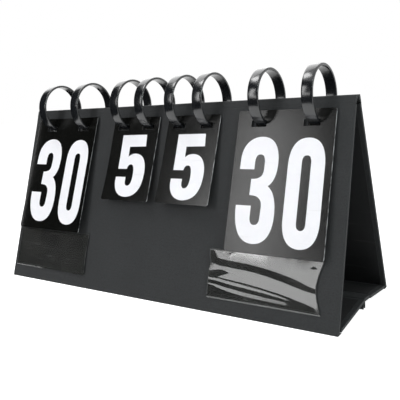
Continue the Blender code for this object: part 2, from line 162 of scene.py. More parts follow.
def build_dust_and_scuffs():
    """Fine specks of dust and long thin rub marks."""
    group, given, result = new_group(
        "dust_and_scuffs", {"Speck Scale": 700.0, "Rub Scale": 30.0}, ["Dust", "Rubs"])
    place = node(group, "ShaderNodeTexCoord").outputs["Object"]
    specks = node(group, "ShaderNodeTexVoronoi", {"Vector": place, "Scale": given.outputs["Speck Scale"]})
    spread = node(group, "ShaderNodeTexNoise", {"Vector": place, "Scale": 45.0, "Detail": 2.0})
    size = node(group, "ShaderNodeMapRange", {
        "Value": spread.outputs["Fac"], "From Min": 0.5, "From Max": 0.8, "To Min": 0.0, "To Max": 0.16})
    dust = node(group, "ShaderNodeMath", {
        0: specks.outputs["Distance"], 1: size.outputs["Result"]}, operation="LESS_THAN")
    stretch = node(group, "ShaderNodeMapping", {
        "Vector": place, "Rotation": (0.0, 0.0, 0.7), "Scale": (1.0, 9.0, 14.0)})
    rub = node(group, "ShaderNodeTexNoise", {
        "Vector": stretch.outputs["Vector"], "Scale": given.outputs["Rub Scale"], "Detail": 3.0,
        "Distortion": 0.4})
    rubs = node(group, "ShaderNodeMapRange", {
        "Value": rub.outputs["Fac"], "From Min": 0.62, "From Max": 0.72})
    group.links.new(dust.outputs[0], result.inputs["Dust"])
    group.links.new(rubs.outputs["Result"], result.inputs["Rubs"])
    return group


CLOUDY_TONE = build_cloudy_tone()
LEATHER_GRAIN = build_leather_grain()
DUST_AND_SCUFFS = build_dust_and_scuffs()


def new_material(name, **sockets):
    """A material with uniform values on its Principled shader."""
    material = bpy.data.materials.new(name)
    material.use_nodes = True
    tree = material.node_tree
    shader = tree.nodes["Principled BSDF"]
    for key, value in sockets.items():
        shader.inputs[key.replace("_", " ")].default_value = value
    return material, tree, shader


def place_group(tree, group, **inputs):
    made = node(tree, "ShaderNodeGroup", node_tree=group)
    for key, value in inputs.items():
        made.inputs[key.replace("_", " ")].default_value = value
    return made


def mixed(tree, factor, first, second):
    """A colour between two, by a factor. Each of the two is a plain colour or a link."""
    first, second = [c if isinstance(c, bpy.types.NodeSocket) else (*c, 1.0) for c in (first, second)]
    mix = node(tree, "ShaderNodeMixRGB", {"Fac": factor, "Color1": first, "Color2": second})
    return mix.outputs["Color"]


def build_surface(name, clouds, dark, light, marks=None, painted_crease_shade=None, rubbed=None, dusty=None,
                  rough=None, rub_roughness=0.0, grain=None, **sockets):
    """A material that drifts between two shades. A painted shade in the grain's creases, the colours of rubs
    and dust, the range of its roughness and a bump are laid over it where they are given. Marks are the
    scales of specks and rubs, and grain is its scale, strength and depth."""
    material, tree, shader = new_material(name, **sockets)
    tone = place_group(tree, CLOUDY_TONE, Scale=clouds).outputs["Tone"]
    colour = mixed(tree, tone, dark, light)
    if grain:
        height = place_group(tree, LEATHER_GRAIN, Scale=grain[0]).outputs["Height"]
        bump = node(tree, "ShaderNodeBump", {"Strength": grain[1], "Distance": grain[2], "Height": height})
        tree.links.new(bump.outputs["Normal"], shader.inputs["Normal"])
    # Darker colour in the grain's creases: a painted shade
    if painted_crease_shade:
        colour = mixed(tree, height, painted_crease_shade, colour)
    if marks:
        wear = place_group(tree, DUST_AND_SCUFFS, Speck_Scale=marks[0], Rub_Scale=marks[1])
    if rubbed:
        colour = mixed(tree, wear.outputs["Rubs"], colour, rubbed)
    if dusty:
        colour = mixed(tree, wear.outputs["Dust"], colour, dusty)
    tree.links.new(colour, shader.inputs["Base Color"])
    if rough:
        spread = node(tree, "ShaderNodeMapRange", {"Value": tone, "To Min": rough[0], "To Max": rough[1]})
        roughness = spread.outputs["Result"]
        if rub_roughness:
            total = node(tree, "ShaderNodeMath", {
                0: wear.outputs["Rubs"], 1: rub_roughness, 2: roughness}, operation="MULTIPLY_ADD")
            roughness = total.outputs[0]
        tree.links.new(roughness, shader.inputs["Roughness"])
    return material


# The grain's creases are coloured darker: a painted shade in the creases
CHARCOAL_VINYL = build_surface(
    "charcoal_vinyl", 17.0, (0.0385, 0.0402, 0.0419), (0.0508, 0.0529, 0.0549), marks=(420.0, 24.0),
    painted_crease_shade=(0.030, 0.031, 0.032), dusty=(0.06, 0.06, 0.062), rough=(0.62, 0.72), rub_roughness=-0.07,
    grain=(1150.0, 0.55, 0.00012), Specular_IOR_Level=0.14)


# Corners of each side of a cell, by the direction that the side faces
CELL_SIDES = {
    (0, 0, 1): ((0, 0, 1), (1, 0, 1), (1, 1, 1), (0, 1, 1)),
    (0, 0, -1): ((0, 0, 0), (0, 1, 0), (1, 1, 0), (1, 0, 0)),
    (1, 0, 0): ((1, 0, 0), (1, 1, 0), (1, 1, 1), (1, 0, 1)),
    (-1, 0, 0): ((0, 0, 0), (0, 0, 1), (0, 1, 1), (0, 1, 0)),
    (0, 1, 0): ((0, 1, 0), (0, 1, 1), (1, 1, 1), (1, 1, 0)),
    (0, -1, 0): ((0, 0, 0), (1, 0, 0), (1, 0, 1), (0, 0, 1)),
}


def layered_plate(xs, ys, spans_at):
    """A solid made of cells. spans_at(x, y) gives the solid spans, as (low, high), at a cell's middle."""
    cells = {}
    for i in range(len(xs) - 1):
        for j in range(len(ys) - 1):
            cells[i, j] = spans_at((xs[i] + xs[i + 1]) / 2, (ys[j] + ys[j + 1]) / 2)
    levels = sorted({level for spans in cells.values() for span in spans for level in span})
    shape = bmesh.new()
    corners = {}

    def corner(i, j, k):
        if (i, j, k) not in corners:
            corners[i, j, k] = shape.verts.new((xs[i], ys[j], levels[k]))
        return corners[i, j, k]

    def solid(i, j, k):
        if not 0 <= k < len(levels) - 1:
            return False
        return any(low <= levels[k] and levels[k + 1] <= high for low, high in cells.get((i, j), ()))

    for i, j in cells:
        for k in range(len(levels) - 1):
            if not solid(i, j, k):
                continue
            for (di, dj, dk), ring in CELL_SIDES.items():
                if not solid(i + di, j + dj, k + dk):
                    shape.faces.new([corner(i + a, j + b, k + c) for a, b, c in ring])
    return shape


def ease_edges(shape, width, pick, segments=3):
    """Rounds the sharp edges that pick(middle of the edge) chooses."""
    edges = []
    for edge in shape.edges:
        if len(edge.link_faces) != 2 or edge.calc_face_angle() < 0.7:
            continue
        if pick((edge.verts[0].co + edge.verts[1].co) / 2):
            edges.append(edge)
    bmesh.ops.bevel(
        shape, geom=edges, offset=width, offset_type="OFFSET", segments=segments, profile=0.5,
        affect="EDGES", clamp_overlap=True)


def add_piece(name, shape, material, place=None, hard=False, flat_angle=38):
    """An object from a bmesh, moved to its place. A hard one is a plate with eased edges."""
    mesh = bpy.data.meshes.new(name)
    if place is not None:
        shape.transform(place)
    shape.to_mesh(mesh)
    shape.free()
    mesh.materials.append(material)
    mesh.shade_smooth()
    mesh.set_sharp_from_angle(angle=math.radians(flat_angle))
    piece = bpy.data.objects.new(name, mesh)
    bpy.context.scene.collection.objects.link(piece)
    if hard:
        piece.modifiers.new("even_normals", "WEIGHTED_NORMAL").keep_sharp = True
    return piece


def slot_edges(margin=0.0):
    """X of the ring slots' sides, in a panel frame."""
    edges = []
    for place in RING_PLACES:
        edges += [place - SLOT_WIDTH / 2 - margin, place + SLOT_WIDTH / 2 + margin]
    return edges


def in_slot(x, y, margin=0.0):
    if not SLOT_SPAN[0] - margin < y < SLOT_SPAN[1] + margin:
        return False
    return any(abs(x - place) < SLOT_WIDTH / 2 + margin for place in RING_PLACES)


def build_panel_cover(side, way):
    """One panel's vinyl. In the rear frame X is reversed, so the slots are too."""
    def spans_at(x, y):
        if in_slot(way * x, y):
            return ()
        edge = min(HALF_LENGTH - abs(x), y, COVER_TOP - y)
        if edge < WALL:
            return ((-HEM_DEPTH[1], 0.0),)
        if edge < HEM_WIDTH:
            return ((-HEM_DEPTH[1], -HEM_DEPTH[0]), (-SKIN, 0.0))
        return ((-SKIN, 0.0),)

    xs = [way * x for x in slot_edges()]
    for inset in (0.0, WALL, HEM_WIDTH):
        xs += [-HALF_LENGTH + inset, HALF_LENGTH - inset]
    ys = [0.0, WALL, HEM_WIDTH, *SLOT_SPAN, COVER_TOP - HEM_WIDTH, COVER_TOP - WALL, COVER_TOP]
    shape = layered_plate(sorted(xs), ys, spans_at)
    # The foot is cut level, so that it stands flat on the table
    for vertex in shape.verts:
        if vertex.co.y < 1e-6:
            vertex.co.y = -vertex.co.z * math.tan(LEAN)
    # Slot rims, sides, foot and the hem's own edge, each as round as the vinyl bends there
    side_at = HALF_LENGTH - 0.1 * MM
    ease_edges(shape, SLOT_ROUND, lambda m: in_slot(way * m.x, m.y, 0.4 * MM) and m.z > -0.5 * MM)
    ease_edges(shape, SIDE_ROUND, lambda m: abs(m.x) > side_at and m.y < COVER_TOP - 0.1 * MM)
    ease_edges(shape, FOOT_ROUND, lambda m: m.y < 1.3 * MM and abs(m.x) < side_at)
    ease_edges(shape, HEM_ROUND, lambda m: m.z < -HEM_DEPTH[1] + 0.05 * MM)
    place = FRONT if way > 0 else REAR
    return add_piece(side + "_panel_vinyl", shape, CHARCOAL_VINYL, place, hard=True)


for side, way in (("front", 1), ("rear", -1)):
    cover = build_panel_cover(side, way)
    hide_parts(side + "_cover")
    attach(cover, side + "_panel")

# BOARDS
# The stiff cores of the two panels and of the two base flaps, cut from raw grey board. Only their cut
# edges show, inside the punched ring slots.


def build_greyboard():
    material, tree, shader = new_material("raw_greyboard", Roughness=0.9)
    place = node(tree, "ShaderNodeTexCoord").outputs["Object"]
    stretch = node(tree, "ShaderNodeMapping", {"Vector": place, "Scale": (1.0, 4.0, 4.0)})
    fibre = node(tree, "ShaderNodeTexNoise", {
        "Vector": stretch.outputs["Vector"], "Scale": 420.0, "Detail": 6.0}).outputs["Fac"]
    tone = place_group(tree, CLOUDY_TONE, Scale=60.0).outputs["Tone"]
    pale = node(tree, "ShaderNodeMath", {0: fibre, 1: tone}, operation="MULTIPLY")
    colour = mixed(tree, pale.outputs[0], (0.17, 0.155, 0.135), (0.40, 0.375, 0.335))
    tree.links.new(colour, shader.inputs["Base Color"])
    bump = node(tree, "ShaderNodeBump", {"Strength": 0.6, "Distance": 0.0001, "Height": fibre})
    tree.links.new(bump.outputs["Normal"], shader.inputs["Normal"])
    return material


RAW_GREYBOARD = build_greyboard()
for board in ("front_board", "rear_board", "front_flap_board", "rear_flap_board"):
    mesh = frame["nodes"][board].data
    mesh.materials.clear()
    mesh.materials.append(RAW_GREYBOARD)

# LININGS
# Matt black paper glued over the hems inside the tent, on both panels and both base flaps. The edge of
# the hem under it shows through as a faint step.
LINING_INSET = 4.0 * MM
LINING_STEP = 0.16 * MM
LINING_WAVE = 0.05 * MM
LINING_PAPER = build_surface(
    "black_lining_paper", 26.0, (0.0085, 0.0088, 0.0095), (0.0135, 0.0140, 0.0150), marks=(560.0, 16.0),
    rubbed=(0.019, 0.0195, 0.0205), dusty=(0.05, 0.05, 0.05), rough=(0.62, 0.74),
    grain=(2100.0, 0.5, 0.00006), Specular_IOR_Level=0.35)


def even_steps(low, high, step, extra=()):
    """Values from low to high about a step apart, with extra values among them."""
    count = max(1, round((high - low) / step))
    values = [low + (high - low) * index / count for index in range(count + 1)]
    for value in extra:
        if low < value < high:
            values = [v for v in values if abs(v - value) > step * 0.3 or v in (low, high)] + [value]
    return sorted(set(values))


def sheet(xs, ys, height, thickness, opening=None):
    """A thin sheet with its outer face at height(x, y), without the cells that opening(x, y) chooses."""
    shape = bmesh.new()
    outer = [[shape.verts.new((x, y, height(x, y))) for y in ys] for x in xs]
    inner = [[shape.verts.new((x, y, height(x, y) - thickness)) for y in ys] for x in xs]
    there = {}
    for i in range(len(xs) - 1):
        for j in range(len(ys) - 1):
            middle = ((xs[i] + xs[i + 1]) / 2, (ys[j] + ys[j + 1]) / 2)
            there[i, j] = opening is None or not opening(*middle)
    for (i, j), solid in there.items():
        if not solid:
            continue
        ring = ((i, j), (i + 1, j), (i + 1, j + 1), (i, j + 1))
        shape.faces.new([outer[a][b] for a, b in ring])
        shape.faces.new([inner[a][b] for a, b in reversed(ring)])
        beyond = ((i, j - 1), (i + 1, j), (i, j + 1), (i - 1, j))
        for index, cell in enumerate(beyond):
            if not there.get(cell, False):
                a, b = ring[index], ring[(index + 1) % 4]
                shape.faces.new([outer[b[0]][b[1]], outer[a[0]][a[1]], inner[a[0]][a[1]], inner[b[0]][b[1]]])
    bmesh.ops.delete(shape, geom=[v for v in shape.verts if not v.link_faces], context="VERTS")
    return shape


def swell(value, low, high):
    """0 below low, 1 above high, and smooth between."""
    t = min(max((value - low) / (high - low), 0.0), 1.0)
    return t * t * (3 - 2 * t)


def build_panel_lining(side, way):
    half = HALF_LENGTH - LINING_INSET
    foot, top = 5.0 * MM, COVER_TOP - LINING_INSET
    margin = 0.5 * MM
    step_at = HEM_WIDTH + 4 * MM - LINING_INSET
    near = [half - step_at - MM, half - step_at, half - step_at + MM]
    xs = even_steps(-half, half, 9 * MM, [way * x for x in slot_edges(margin)] + near + [-x for x in near])
    low, high = SLOT_SPAN
    ys = even_steps(foot, top, 8 * MM, [
        low - margin, high + margin, foot + step_at - MM, foot + step_at, foot + step_at + MM])

    def inner_face(x, y):
        edge = min(half - abs(x), y - foot)
        ghost = LINING_STEP * (1 - swell(edge, step_at - MM, step_at + MM))
        wave = LINING_WAVE * noise.noise(Vector((x * 25, y * 25, 3.0 * way)))
        return -PANEL_THICKNESS + LINING_STEP - ghost + wave

    # The face seen inside the tent is the lower one, so a metre-thick sheet has both its faces set anew
    shape = sheet(xs, ys, lambda x, y: 0.0, 1.0, lambda x, y: in_slot(way * x, y, margin * 0.9))
    for vertex in shape.verts:
        is_outer = vertex.co.z > -0.5
        vertex.co.z = -HEM_DEPTH[1] if is_outer else inner_face(vertex.co.x, vertex.co.y)
    place = FRONT if way > 0 else REAR
    piece = add_piece(side + "_panel_lining_paper", shape, LINING_PAPER, place)
    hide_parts(side + "_lining")
    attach(piece, side + "_panel")


build_panel_lining("front", 1)
build_panel_lining("rear", -1)

# RIDGE STRIP
# The vinyl runs over the ridge without board under it, so that the tent can fold. It has a shallow
# groove beside each board and a few soft waves where it has bent.
RIDGE_STRIP = 1.1 * MM
RIDGE_BEND = 1.6 * MM
RIDGE_SAG = 0.16 * MM
RIDGE_SWAY = 0.12 * MM


def loft(shape, rows, capped=True):
    """Faces between rows of corners round a bar. Its ends are capped, or joined to each other."""
    for first, second in zip(rows, rows[1:] if capped else rows[1:] + rows[:1]):
        for k in range(len(first)):
            n = (k + 1) % len(first)
            shape.faces.new([first[k], first[n], second[n], second[k]])
    if capped:
        shape.faces.new(list(reversed(rows[0])))
        shape.faces.new(rows[-1])


def build_ridge_strip():
    # The groove and the waves of one side, as distances down from the ridge and out from the panel's face
    outer = [(RIDGE_BAND, 0.0), (7.2 * MM, -0.02 * MM), (6.85 * MM, -0.16 * MM), (6.5 * MM, -0.04 * MM),
             (6.0 * MM, 0.0), (4.6 * MM, 0.0), (3.4 * MM, -0.05 * MM), (2.7 * MM, -0.07 * MM),
             (2.0 * MM, -0.02 * MM), (1.2 * MM, 0.0)]
    side = [(-RIDGE_HALF_WIDTH - down * math.sin(LEAN) - out * math.cos(LEAN),
             RIDGE_TOP - down * math.cos(LEAN) + out * math.sin(LEAN)) for down, out in outer]
    bend_steps = 6
    turn = math.pi / 2 - LEAN
    centre = (-RIDGE_HALF_WIDTH + RIDGE_BEND * math.tan(turn / 2), RIDGE_TOP - RIDGE_BEND)
    for step in range(1, bend_steps + 1):
        angle = math.pi - LEAN - turn * step / bend_steps
        side.append((centre[0] + RIDGE_BEND * math.cos(angle), centre[1] + RIDGE_BEND * math.sin(angle)))
    side.append((-1.2 * MM, RIDGE_TOP - 0.05 * MM))
    profile = side + [(0.0, RIDGE_TOP - 0.06 * MM)] + [(-y, z) for y, z in reversed(side)]
    xs = even_steps(-HALF_LENGTH, HALF_LENGTH, 4 * MM)
    shape = bmesh.new()
    rows = []
    under = [(profile[0][0] + RIDGE_STRIP, profile[0][1]), (0.0, RIDGE_TOP - RIDGE_STRIP),
             (profile[-1][0] - RIDGE_STRIP, profile[-1][1])]
    for x in xs:
        row = []
        for index, (y, z) in enumerate(profile):
            share = min(1.0, 2.2 * min(index, len(profile) - 1 - index) / (len(profile) / 2))
            sag = RIDGE_SAG * (noise.noise(Vector((x * 38, 0.4, 1.7))) - 0.55) * share
            sway = RIDGE_SWAY * noise.noise(Vector((x * 30, 5.0, 0.3))) * share
            row.append(shape.verts.new((x, y + sway, min(z + sag, RIDGE_TOP))))
        rows.append(row + [shape.verts.new((x, y, z)) for y, z in reversed(under)])
    loft(shape, rows)
    bmesh.ops.recalc_face_normals(shape, faces=shape.faces)
    piece = add_piece("ridge_strip_vinyl", shape, CHARCOAL_VINYL, None, flat_angle=50)
    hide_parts("ridge_hinge")
    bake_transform(piece, "front_panel", "rear_panel",
             start=(0, -RIDGE_HALF_WIDTH, RIDGE_TOP), end=(0, RIDGE_HALF_WIDTH, RIDGE_TOP))


build_ridge_strip()

# BASE FLAPS
# A board flap hangs at the foot of each panel, covered in the same sheet of vinyl and lined on top. The
# two meet in the middle of the base, and hold the tent open.
FLAP_AXIS = next(j for j in frame["joints"] if j["name"] == "front_flap_fold")["pos_m"]
KINK_HEIGHT = 9.2 * MM
KINK_GAP = 1.2 * MM
FLAP_THICKNESS = 2.8 * MM
FLAP_START = 1.2 * MM
FLAP_ROUND = 0.6 * MM
FLAP_RISE = math.atan2(KINK_HEIGHT - FLAP_AXIS[2], -FLAP_AXIS[1] - KINK_GAP / 2)
FLAP_REACH = math.hypot(KINK_HEIGHT - FLAP_AXIS[2], -FLAP_AXIS[1] - KINK_GAP / 2)
REAR_BOARD_REACH = 40.2 * MM
FRONT_FLAP = Matrix.Translation(FLAP_AXIS) @ Matrix.Rotation(FLAP_RISE, 4, "X")
REAR_FLAP = Matrix.Rotation(math.pi, 4, "Z") @ FRONT_FLAP


def build_flap(side, place, reach):
    """Vinyl underneath and round the edges, and lining paper on top."""
    hem, wall = 8 * MM, 1.2 * MM
    under = (-FLAP_THICKNESS, -FLAP_THICKNESS + 0.4 * MM)
    turned_in = (-0.6 * MM, -0.3 * MM)

    def edge_distance(x, y):
        return min(HALF_LENGTH - abs(x), y - FLAP_START, reach - y)

    def spans_at(x, y):
        if edge_distance(x, y) < wall:
            return ((under[0], turned_in[1]),)
        return (under, turned_in) if edge_distance(x, y) < hem else (under,)

    xs = [-HALF_LENGTH, -HALF_LENGTH + wall, -HALF_LENGTH + hem]
    xs += [0.0, HALF_LENGTH - hem, HALF_LENGTH - wall, HALF_LENGTH]
    ys = [FLAP_START, FLAP_START + wall, FLAP_START + hem, reach - hem, reach - wall, reach]
    shape = layered_plate(xs, ys, spans_at)
    ease_edges(shape, FLAP_ROUND, lambda m: edge_distance(m.x, m.y) < 0.1 * MM)
    cover = add_piece(side + "_flap_vinyl", shape, CHARCOAL_VINYL, place, hard=True)
    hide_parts(side + "_flap_cover")
    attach(cover, side + "_flap")

    half = HALF_LENGTH - LINING_INSET
    start, end = FLAP_START + 2.5 * MM, reach - 2.5 * MM
    step_at = 5.5 * MM
    near = [half - step_at - MM, half - step_at, half - step_at + MM]
    xs = even_steps(-half, half, 9 * MM, near + [-x for x in near])
    ys = even_steps(start, end, 6 * MM, [
        start + step_at, start + step_at + MM, end - step_at, end - step_at - MM])

    def height(x, y):
        edge = min(half - abs(x), y - start, end - y)
        ghost = LINING_STEP * (1 - swell(edge, step_at - MM, step_at + MM))
        wave = LINING_WAVE * noise.noise(Vector((x * 22, y * 22, 7.0)))
        return -0.2 * MM + ghost + wave

    shape = sheet(xs, ys, height, 0.5 * MM)
    paper = add_piece(side + "_flap_lining_paper", shape, LINING_PAPER, place)
    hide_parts(side + "_flap_lining")
    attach(paper, side + "_flap")


build_flap("front", FRONT_FLAP, FLAP_REACH)
build_flap("rear", REAR_FLAP, REAR_BOARD_REACH)

# FOOT STRIPS
# Bare vinyl between each panel's foot and its flap, the hinge that the flap swings on. It is creased
# along its middle.
PANEL_TUCK = 1.5 * MM
FLAP_TUCK = 0.6 * MM
FOOT_STRIP = 0.35 * MM
CREASE_DEPTH = 0.12 * MM
FOOT_RIPPLE = 0.04 * MM


def build_foot_strip(side, way):
    low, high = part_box(side + "_foot_hinge")
    centre = (low.y + high.y) / 2
    reach = (high.y - low.y) / 2
    bottom, top = low.z, high.z
    profile = []
    # It tucks under the panel's foot and under the flap's edge
    for y in even_steps(-reach - PANEL_TUCK, reach + FLAP_TUCK, reach / 4):
        crease = CREASE_DEPTH * math.exp(-(y / reach * 4) ** 2)
        profile.append((centre + way * y, top - crease))
    under = [(y, max(bottom, z - FOOT_STRIP)) for y, z in reversed(profile)]
    loop = profile + under
    xs = even_steps(-HALF_LENGTH, HALF_LENGTH, 8 * MM)
    shape = bmesh.new()
    rows = []
    for x in xs:
        lift = FOOT_RIPPLE * noise.noise(Vector((x * 40, 2.0, way)))
        rows.append([shape.verts.new((x, y, max(bottom, z + lift))) for y, z in loop])
    loft(shape, rows)
    bmesh.ops.recalc_face_normals(shape, faces=shape.faces)
    piece = add_piece(side + "_foot_strip_vinyl", shape, CHARCOAL_VINYL, None)
    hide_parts(side + "_foot_hinge")
    inward = way * reach
    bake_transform(piece, side + "_panel", side + "_flap",
             start=(0, centre - inward * 0.2, bottom), end=(0, centre + inward, bottom))


build_foot_strip("front", 1)
build_foot_strip("rear", -1)

# BASE CLOSURE
# Two bare lips of the cover hang down under the kink, each with a sewn-on tape. Hook tape and loop tape
# press together, and when they are peeled apart the tent folds flat.
TAPE = 1.0 * MM
TAPE_GAP = 0.15 * MM
LIP = 0.8 * MM
LIP_ROUND = 0.35 * MM
TAPE_ROUND = 0.3 * MM
LIP_WANDER = 0.08 * MM
REAR_LIP_WANDER = 0.06 * MM
TAPE_WANDER = 0.05 * MM
FIN_FOOT = 0.4 * MM
TAPE_PILE = build_surface(
    "black_hook_and_loop", 120.0, (0.008, 0.008, 0.008), (0.022, 0.022, 0.022), grain=(1600.0, 1.0, 0.0003),
    Roughness=0.95, Specular_IOR_Level=0.2)


def swept(name, loop, half, material, wander):
    """A cross-section in world Y and Z drawn out along X, with a slight wander in Y."""
    shape = bmesh.new()
    rows = []
    for x in even_steps(-half, half, 5 * MM):
        sway = wander * noise.noise(Vector((x * 28, 4.0, 9.0)))
        rows.append([shape.verts.new((x, y + sway, z)) for y, z in loop])
    loft(shape, rows)
    bmesh.ops.recalc_face_normals(shape, faces=shape.faces)
    return add_piece(name, shape, material, None)


def rounded_bar(y0, y1, z0, z1, radius):
    """A section with rounded lower corners."""
    loop = [(y0, z1), (y1, z1)]
    for y, start in ((y1 - radius, 0.0), (y0 + radius, -math.pi / 2)):
        for index in range(4):
            angle = start - index / 3 * math.pi / 2
            loop.append((y + radius * math.cos(angle), z0 + radius + radius * math.sin(angle)))
    return loop


def build_closure():
    half_tape = TAPE + TAPE_GAP
    inner = half_tape + 0.3 * MM
    outer = inner + LIP
    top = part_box("front_closure_lip")[1].z
    lip_half = HALF_LENGTH - 0.6 * MM
    tape_half = HALF_LENGTH - 6 * MM
    under = KINK_HEIGHT - FLAP_THICKNESS / math.cos(FLAP_RISE)
    tape_foot = FIN_FOOT + 0.3 * MM
    front_lip = swept("front_closure_lip_vinyl", rounded_bar(-outer, -inner, FIN_FOOT, top, LIP_ROUND),
                      lip_half, CHARCOAL_VINYL, LIP_WANDER)
    hook = swept("hook_tape_pile", rounded_bar(-half_tape, -TAPE_GAP, tape_foot, top, TAPE_ROUND),
                 tape_half, TAPE_PILE, TAPE_WANDER)
    loop = swept("loop_tape_pile", rounded_bar(TAPE_GAP, half_tape, tape_foot, top, TAPE_ROUND),
                 tape_half, TAPE_PILE, TAPE_WANDER)
    # The rear lip starts at the rear flap's board and runs to the kink, where its fin turns down
    start_y = REAR_BOARD_REACH + 0.2 * MM
    edge, turn, end, back = [REAR_FLAP @ Vector((0, y, z)) for y, z in (
        (start_y, 0), (FLAP_REACH - 0.8 * MM, 0), (FLAP_REACH - 0.1 * MM, -0.5 * MM),
        (start_y, -FLAP_THICKNESS))]
    bend = outer * math.tan(FLAP_RISE)
    section = [(edge.y, edge.z), (turn.y, turn.z), (end.y, end.z), (inner, under - 0.1 * MM),
               (outer + 0.7 * MM, under - bend - 0.15 * MM), (back.y, back.z)]
    rear_lip = swept("rear_closure_lip_vinyl", section, lip_half, CHARCOAL_VINYL,
                     REAR_LIP_WANDER)
    rear_fin = swept("rear_closure_fin_vinyl", rounded_bar(inner, outer, FIN_FOOT, under, LIP_ROUND),
                     lip_half, CHARCOAL_VINYL, LIP_WANDER)
    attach(rear_fin, "rear_flap")
    for piece, cad, body in (
            (front_lip, "front_closure_lip", "front_flap"), (hook, "hook_tape", "front_flap"),
            (loop, "loop_tape", "rear_flap"), (rear_lip, "rear_closure_lip", "rear_flap")):
        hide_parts(cad)
        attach(piece, body)
    for piece in (front_lip, hook, loop, rear_fin):
        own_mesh(piece)
    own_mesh(rear_lip)


build_closure()

# BINDER RINGS
# Eight black plastic rings, moulded as a flat band that snaps shut. The moulded joint has a seam across
# the band and a small round dimple beside it.
RING_LOW, RING_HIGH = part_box("ring_1")
RING_HEIGHT = (RING_LOW.z + RING_HIGH.z) / 2
RING_OUTER = (RING_HIGH.z - RING_LOW.z) / 2
RING_BAND = 2.4 * MM
RING_INNER = RING_OUTER - RING_BAND
RING_MIDDLE = RING_OUTER - RING_BAND / 2
RING_WIDTH = 10.2 * MM
# Angle of the snap joint from straight down, towards the front, in radians
RING_JOINTS = [-0.9, -0.7, -1.0, 0.78, -0.8, 0.74, -0.9, -0.75]
RING_CROWN = 0.26 * MM
DIMPLE_FROM_JOINT = 3.4 * MM
DIMPLE_DEPTH = 0.45 * MM
DIMPLE_RADII = (0.9 * MM, 1.9 * MM)
SEAM_DEPTH = 0.28 * MM
SEAM_SIDE_DEPTH = 0.18 * MM
SEAM_WIDTH = 0.14 * MM
RING_WOBBLE = 0.02 * MM
RING_PLASTIC = build_surface(
    "glossy_black_plastic", 90.0, (0.0072, 0.0080, 0.0095), (0.0115, 0.0126, 0.0147), marks=(600.0, 60.0),
    dusty=(0.06, 0.06, 0.06), rough=(0.16, 0.21), IOR=1.68)


def ring_section():
    """Points round the band's section, as (x, radius): a crowned outer face and a parting line each side."""
    half = RING_WIDTH / 2
    ease = 0.6 * MM
    line = 0.12 * MM
    steps = 3
    points = []
    corners = [(half - ease, RING_INNER + ease, -90), (half - ease, RING_OUTER - ease, 0),
               (ease - half, RING_OUTER - ease, 90), (ease - half, RING_INNER + ease, 180)]
    for x, r, start in corners:
        for step in range(steps + 1):
            angle = math.radians(start + 90 * step / steps)
            points.append((x + ease * math.cos(angle), r + ease * math.sin(angle)))
            if start in (0, 90):
                points[-1] = (points[-1][0], points[-1][1] - RING_CROWN * (points[-1][0] / half) ** 2)
        if start == 0:
            for index in range(1, 8):
                across = (half - ease) * (1 - index / 4)
                points.append((across, RING_OUTER - RING_CROWN * (across / half) ** 2))
        if start in (-90, 90):
            side = math.copysign(half, x)
            turn = 1 if x > 0 else -1
            points += [(side, RING_MIDDLE - turn * line), (side - turn * line, RING_MIDDLE),
                       (side, RING_MIDDLE + turn * line)]
    return points


def build_ring(number, place):
    joint = RING_JOINTS[number - 1]
    section = ring_section()
    dimple = joint + DIMPLE_FROM_JOINT / RING_OUTER
    # Rows of corners lie closer at the seam and the dimple
    fine = [joint + offset * MM / RING_OUTER for offset in (
        -0.5, -0.22, -0.12, 0, 0.12, 0.22, 0.5, 1.2, 1.8, 2.3, 2.8, 3.4, 4.0, 4.5, 5.0, 5.6)]
    angles = [a for a in even_steps(-math.pi, math.pi, 0.055)[:-1]
              if not any(abs(math.remainder(a - f, 2 * math.pi)) < 0.02 for f in fine)]
    angles = sorted(angles + [math.remainder(f, 2 * math.pi) for f in fine])
    shape = bmesh.new()
    rows = []
    for angle in angles:
        row = []
        seam = math.exp(-(math.remainder(angle - joint, 2 * math.pi) * RING_OUTER / SEAM_WIDTH) ** 2)
        for x, r in section:
            along = math.remainder(angle - dimple, 2 * math.pi) * RING_OUTER
            from_dimple = math.hypot(along, x)
            pit = DIMPLE_DEPTH * (1 - swell(from_dimple, *DIMPLE_RADII)) if r > RING_MIDDLE else 0.0
            wobble = RING_WOBBLE * noise.noise(Vector(
                (math.sin(angle) * 2.4, math.cos(angle) * 2.4, x * 90 + number)))
            toward = 1 if r > RING_MIDDLE else -1
            r_here = min(r - toward * SEAM_DEPTH * seam - pit + wobble, RING_OUTER)
            x_here = x - math.copysign(SEAM_SIDE_DEPTH, x) * seam
            row.append(shape.verts.new(
                (place + x_here, -r_here * math.sin(angle), RING_HEIGHT - r_here * math.cos(angle))))
        rows.append(row)
    loft(shape, rows, capped=False)
    bmesh.ops.recalc_face_normals(shape, faces=shape.faces)
    ring = add_piece(f"binder_ring_{number}", shape, RING_PLASTIC, None, flat_angle=50)
    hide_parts(f"ring_{number}")
    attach(ring, f"ring_{number}")


for number, place in enumerate(RING_PLACES, start=1):
    build_ring(number, place)

# NUMBER CARDS
# Satin black plastic sheets, each hung on a pair of rings by two punched slots, with the numbers printed
# white on both sides: a card's back shows the number after its own. The cards bend a little.
CARD_THICKNESS = 0.3 * MM
CARD_CORNER = 2.0 * MM
CARD_SLOT = (15.0 * MM, 6.0 * MM)
CARD_SLOT_CORNER = 0.7 * MM
SHEET_THICKNESS = 0.24 * MM
PRINT_LIFT = 0.04 * MM
# Width of the pale band along a card's right edge, partly wear and partly a painted highlight
PALE_EDGE_RIM = 0.6 * MM
# How far apart the points of a flat sheet, and of a bent or printed one, are
FLAT_SPACING = 12.0 * MM
BENT_SPACING = 3.0 * MM
# How pale the edges are made, as wear and as a painted highlight, of the cards on the front (1) and on the
# rear (-1)
EDGE_WEAR_AND_HIGHLIGHT = {1: 1.0, -1: 0.2}
# Drift of a loose card across, up and off its place: where in the noise, and how far in millimetres
CARD_DRIFTS = [(0.0, 0.5), (17.3, 0.25), (34.9, 0.05)]


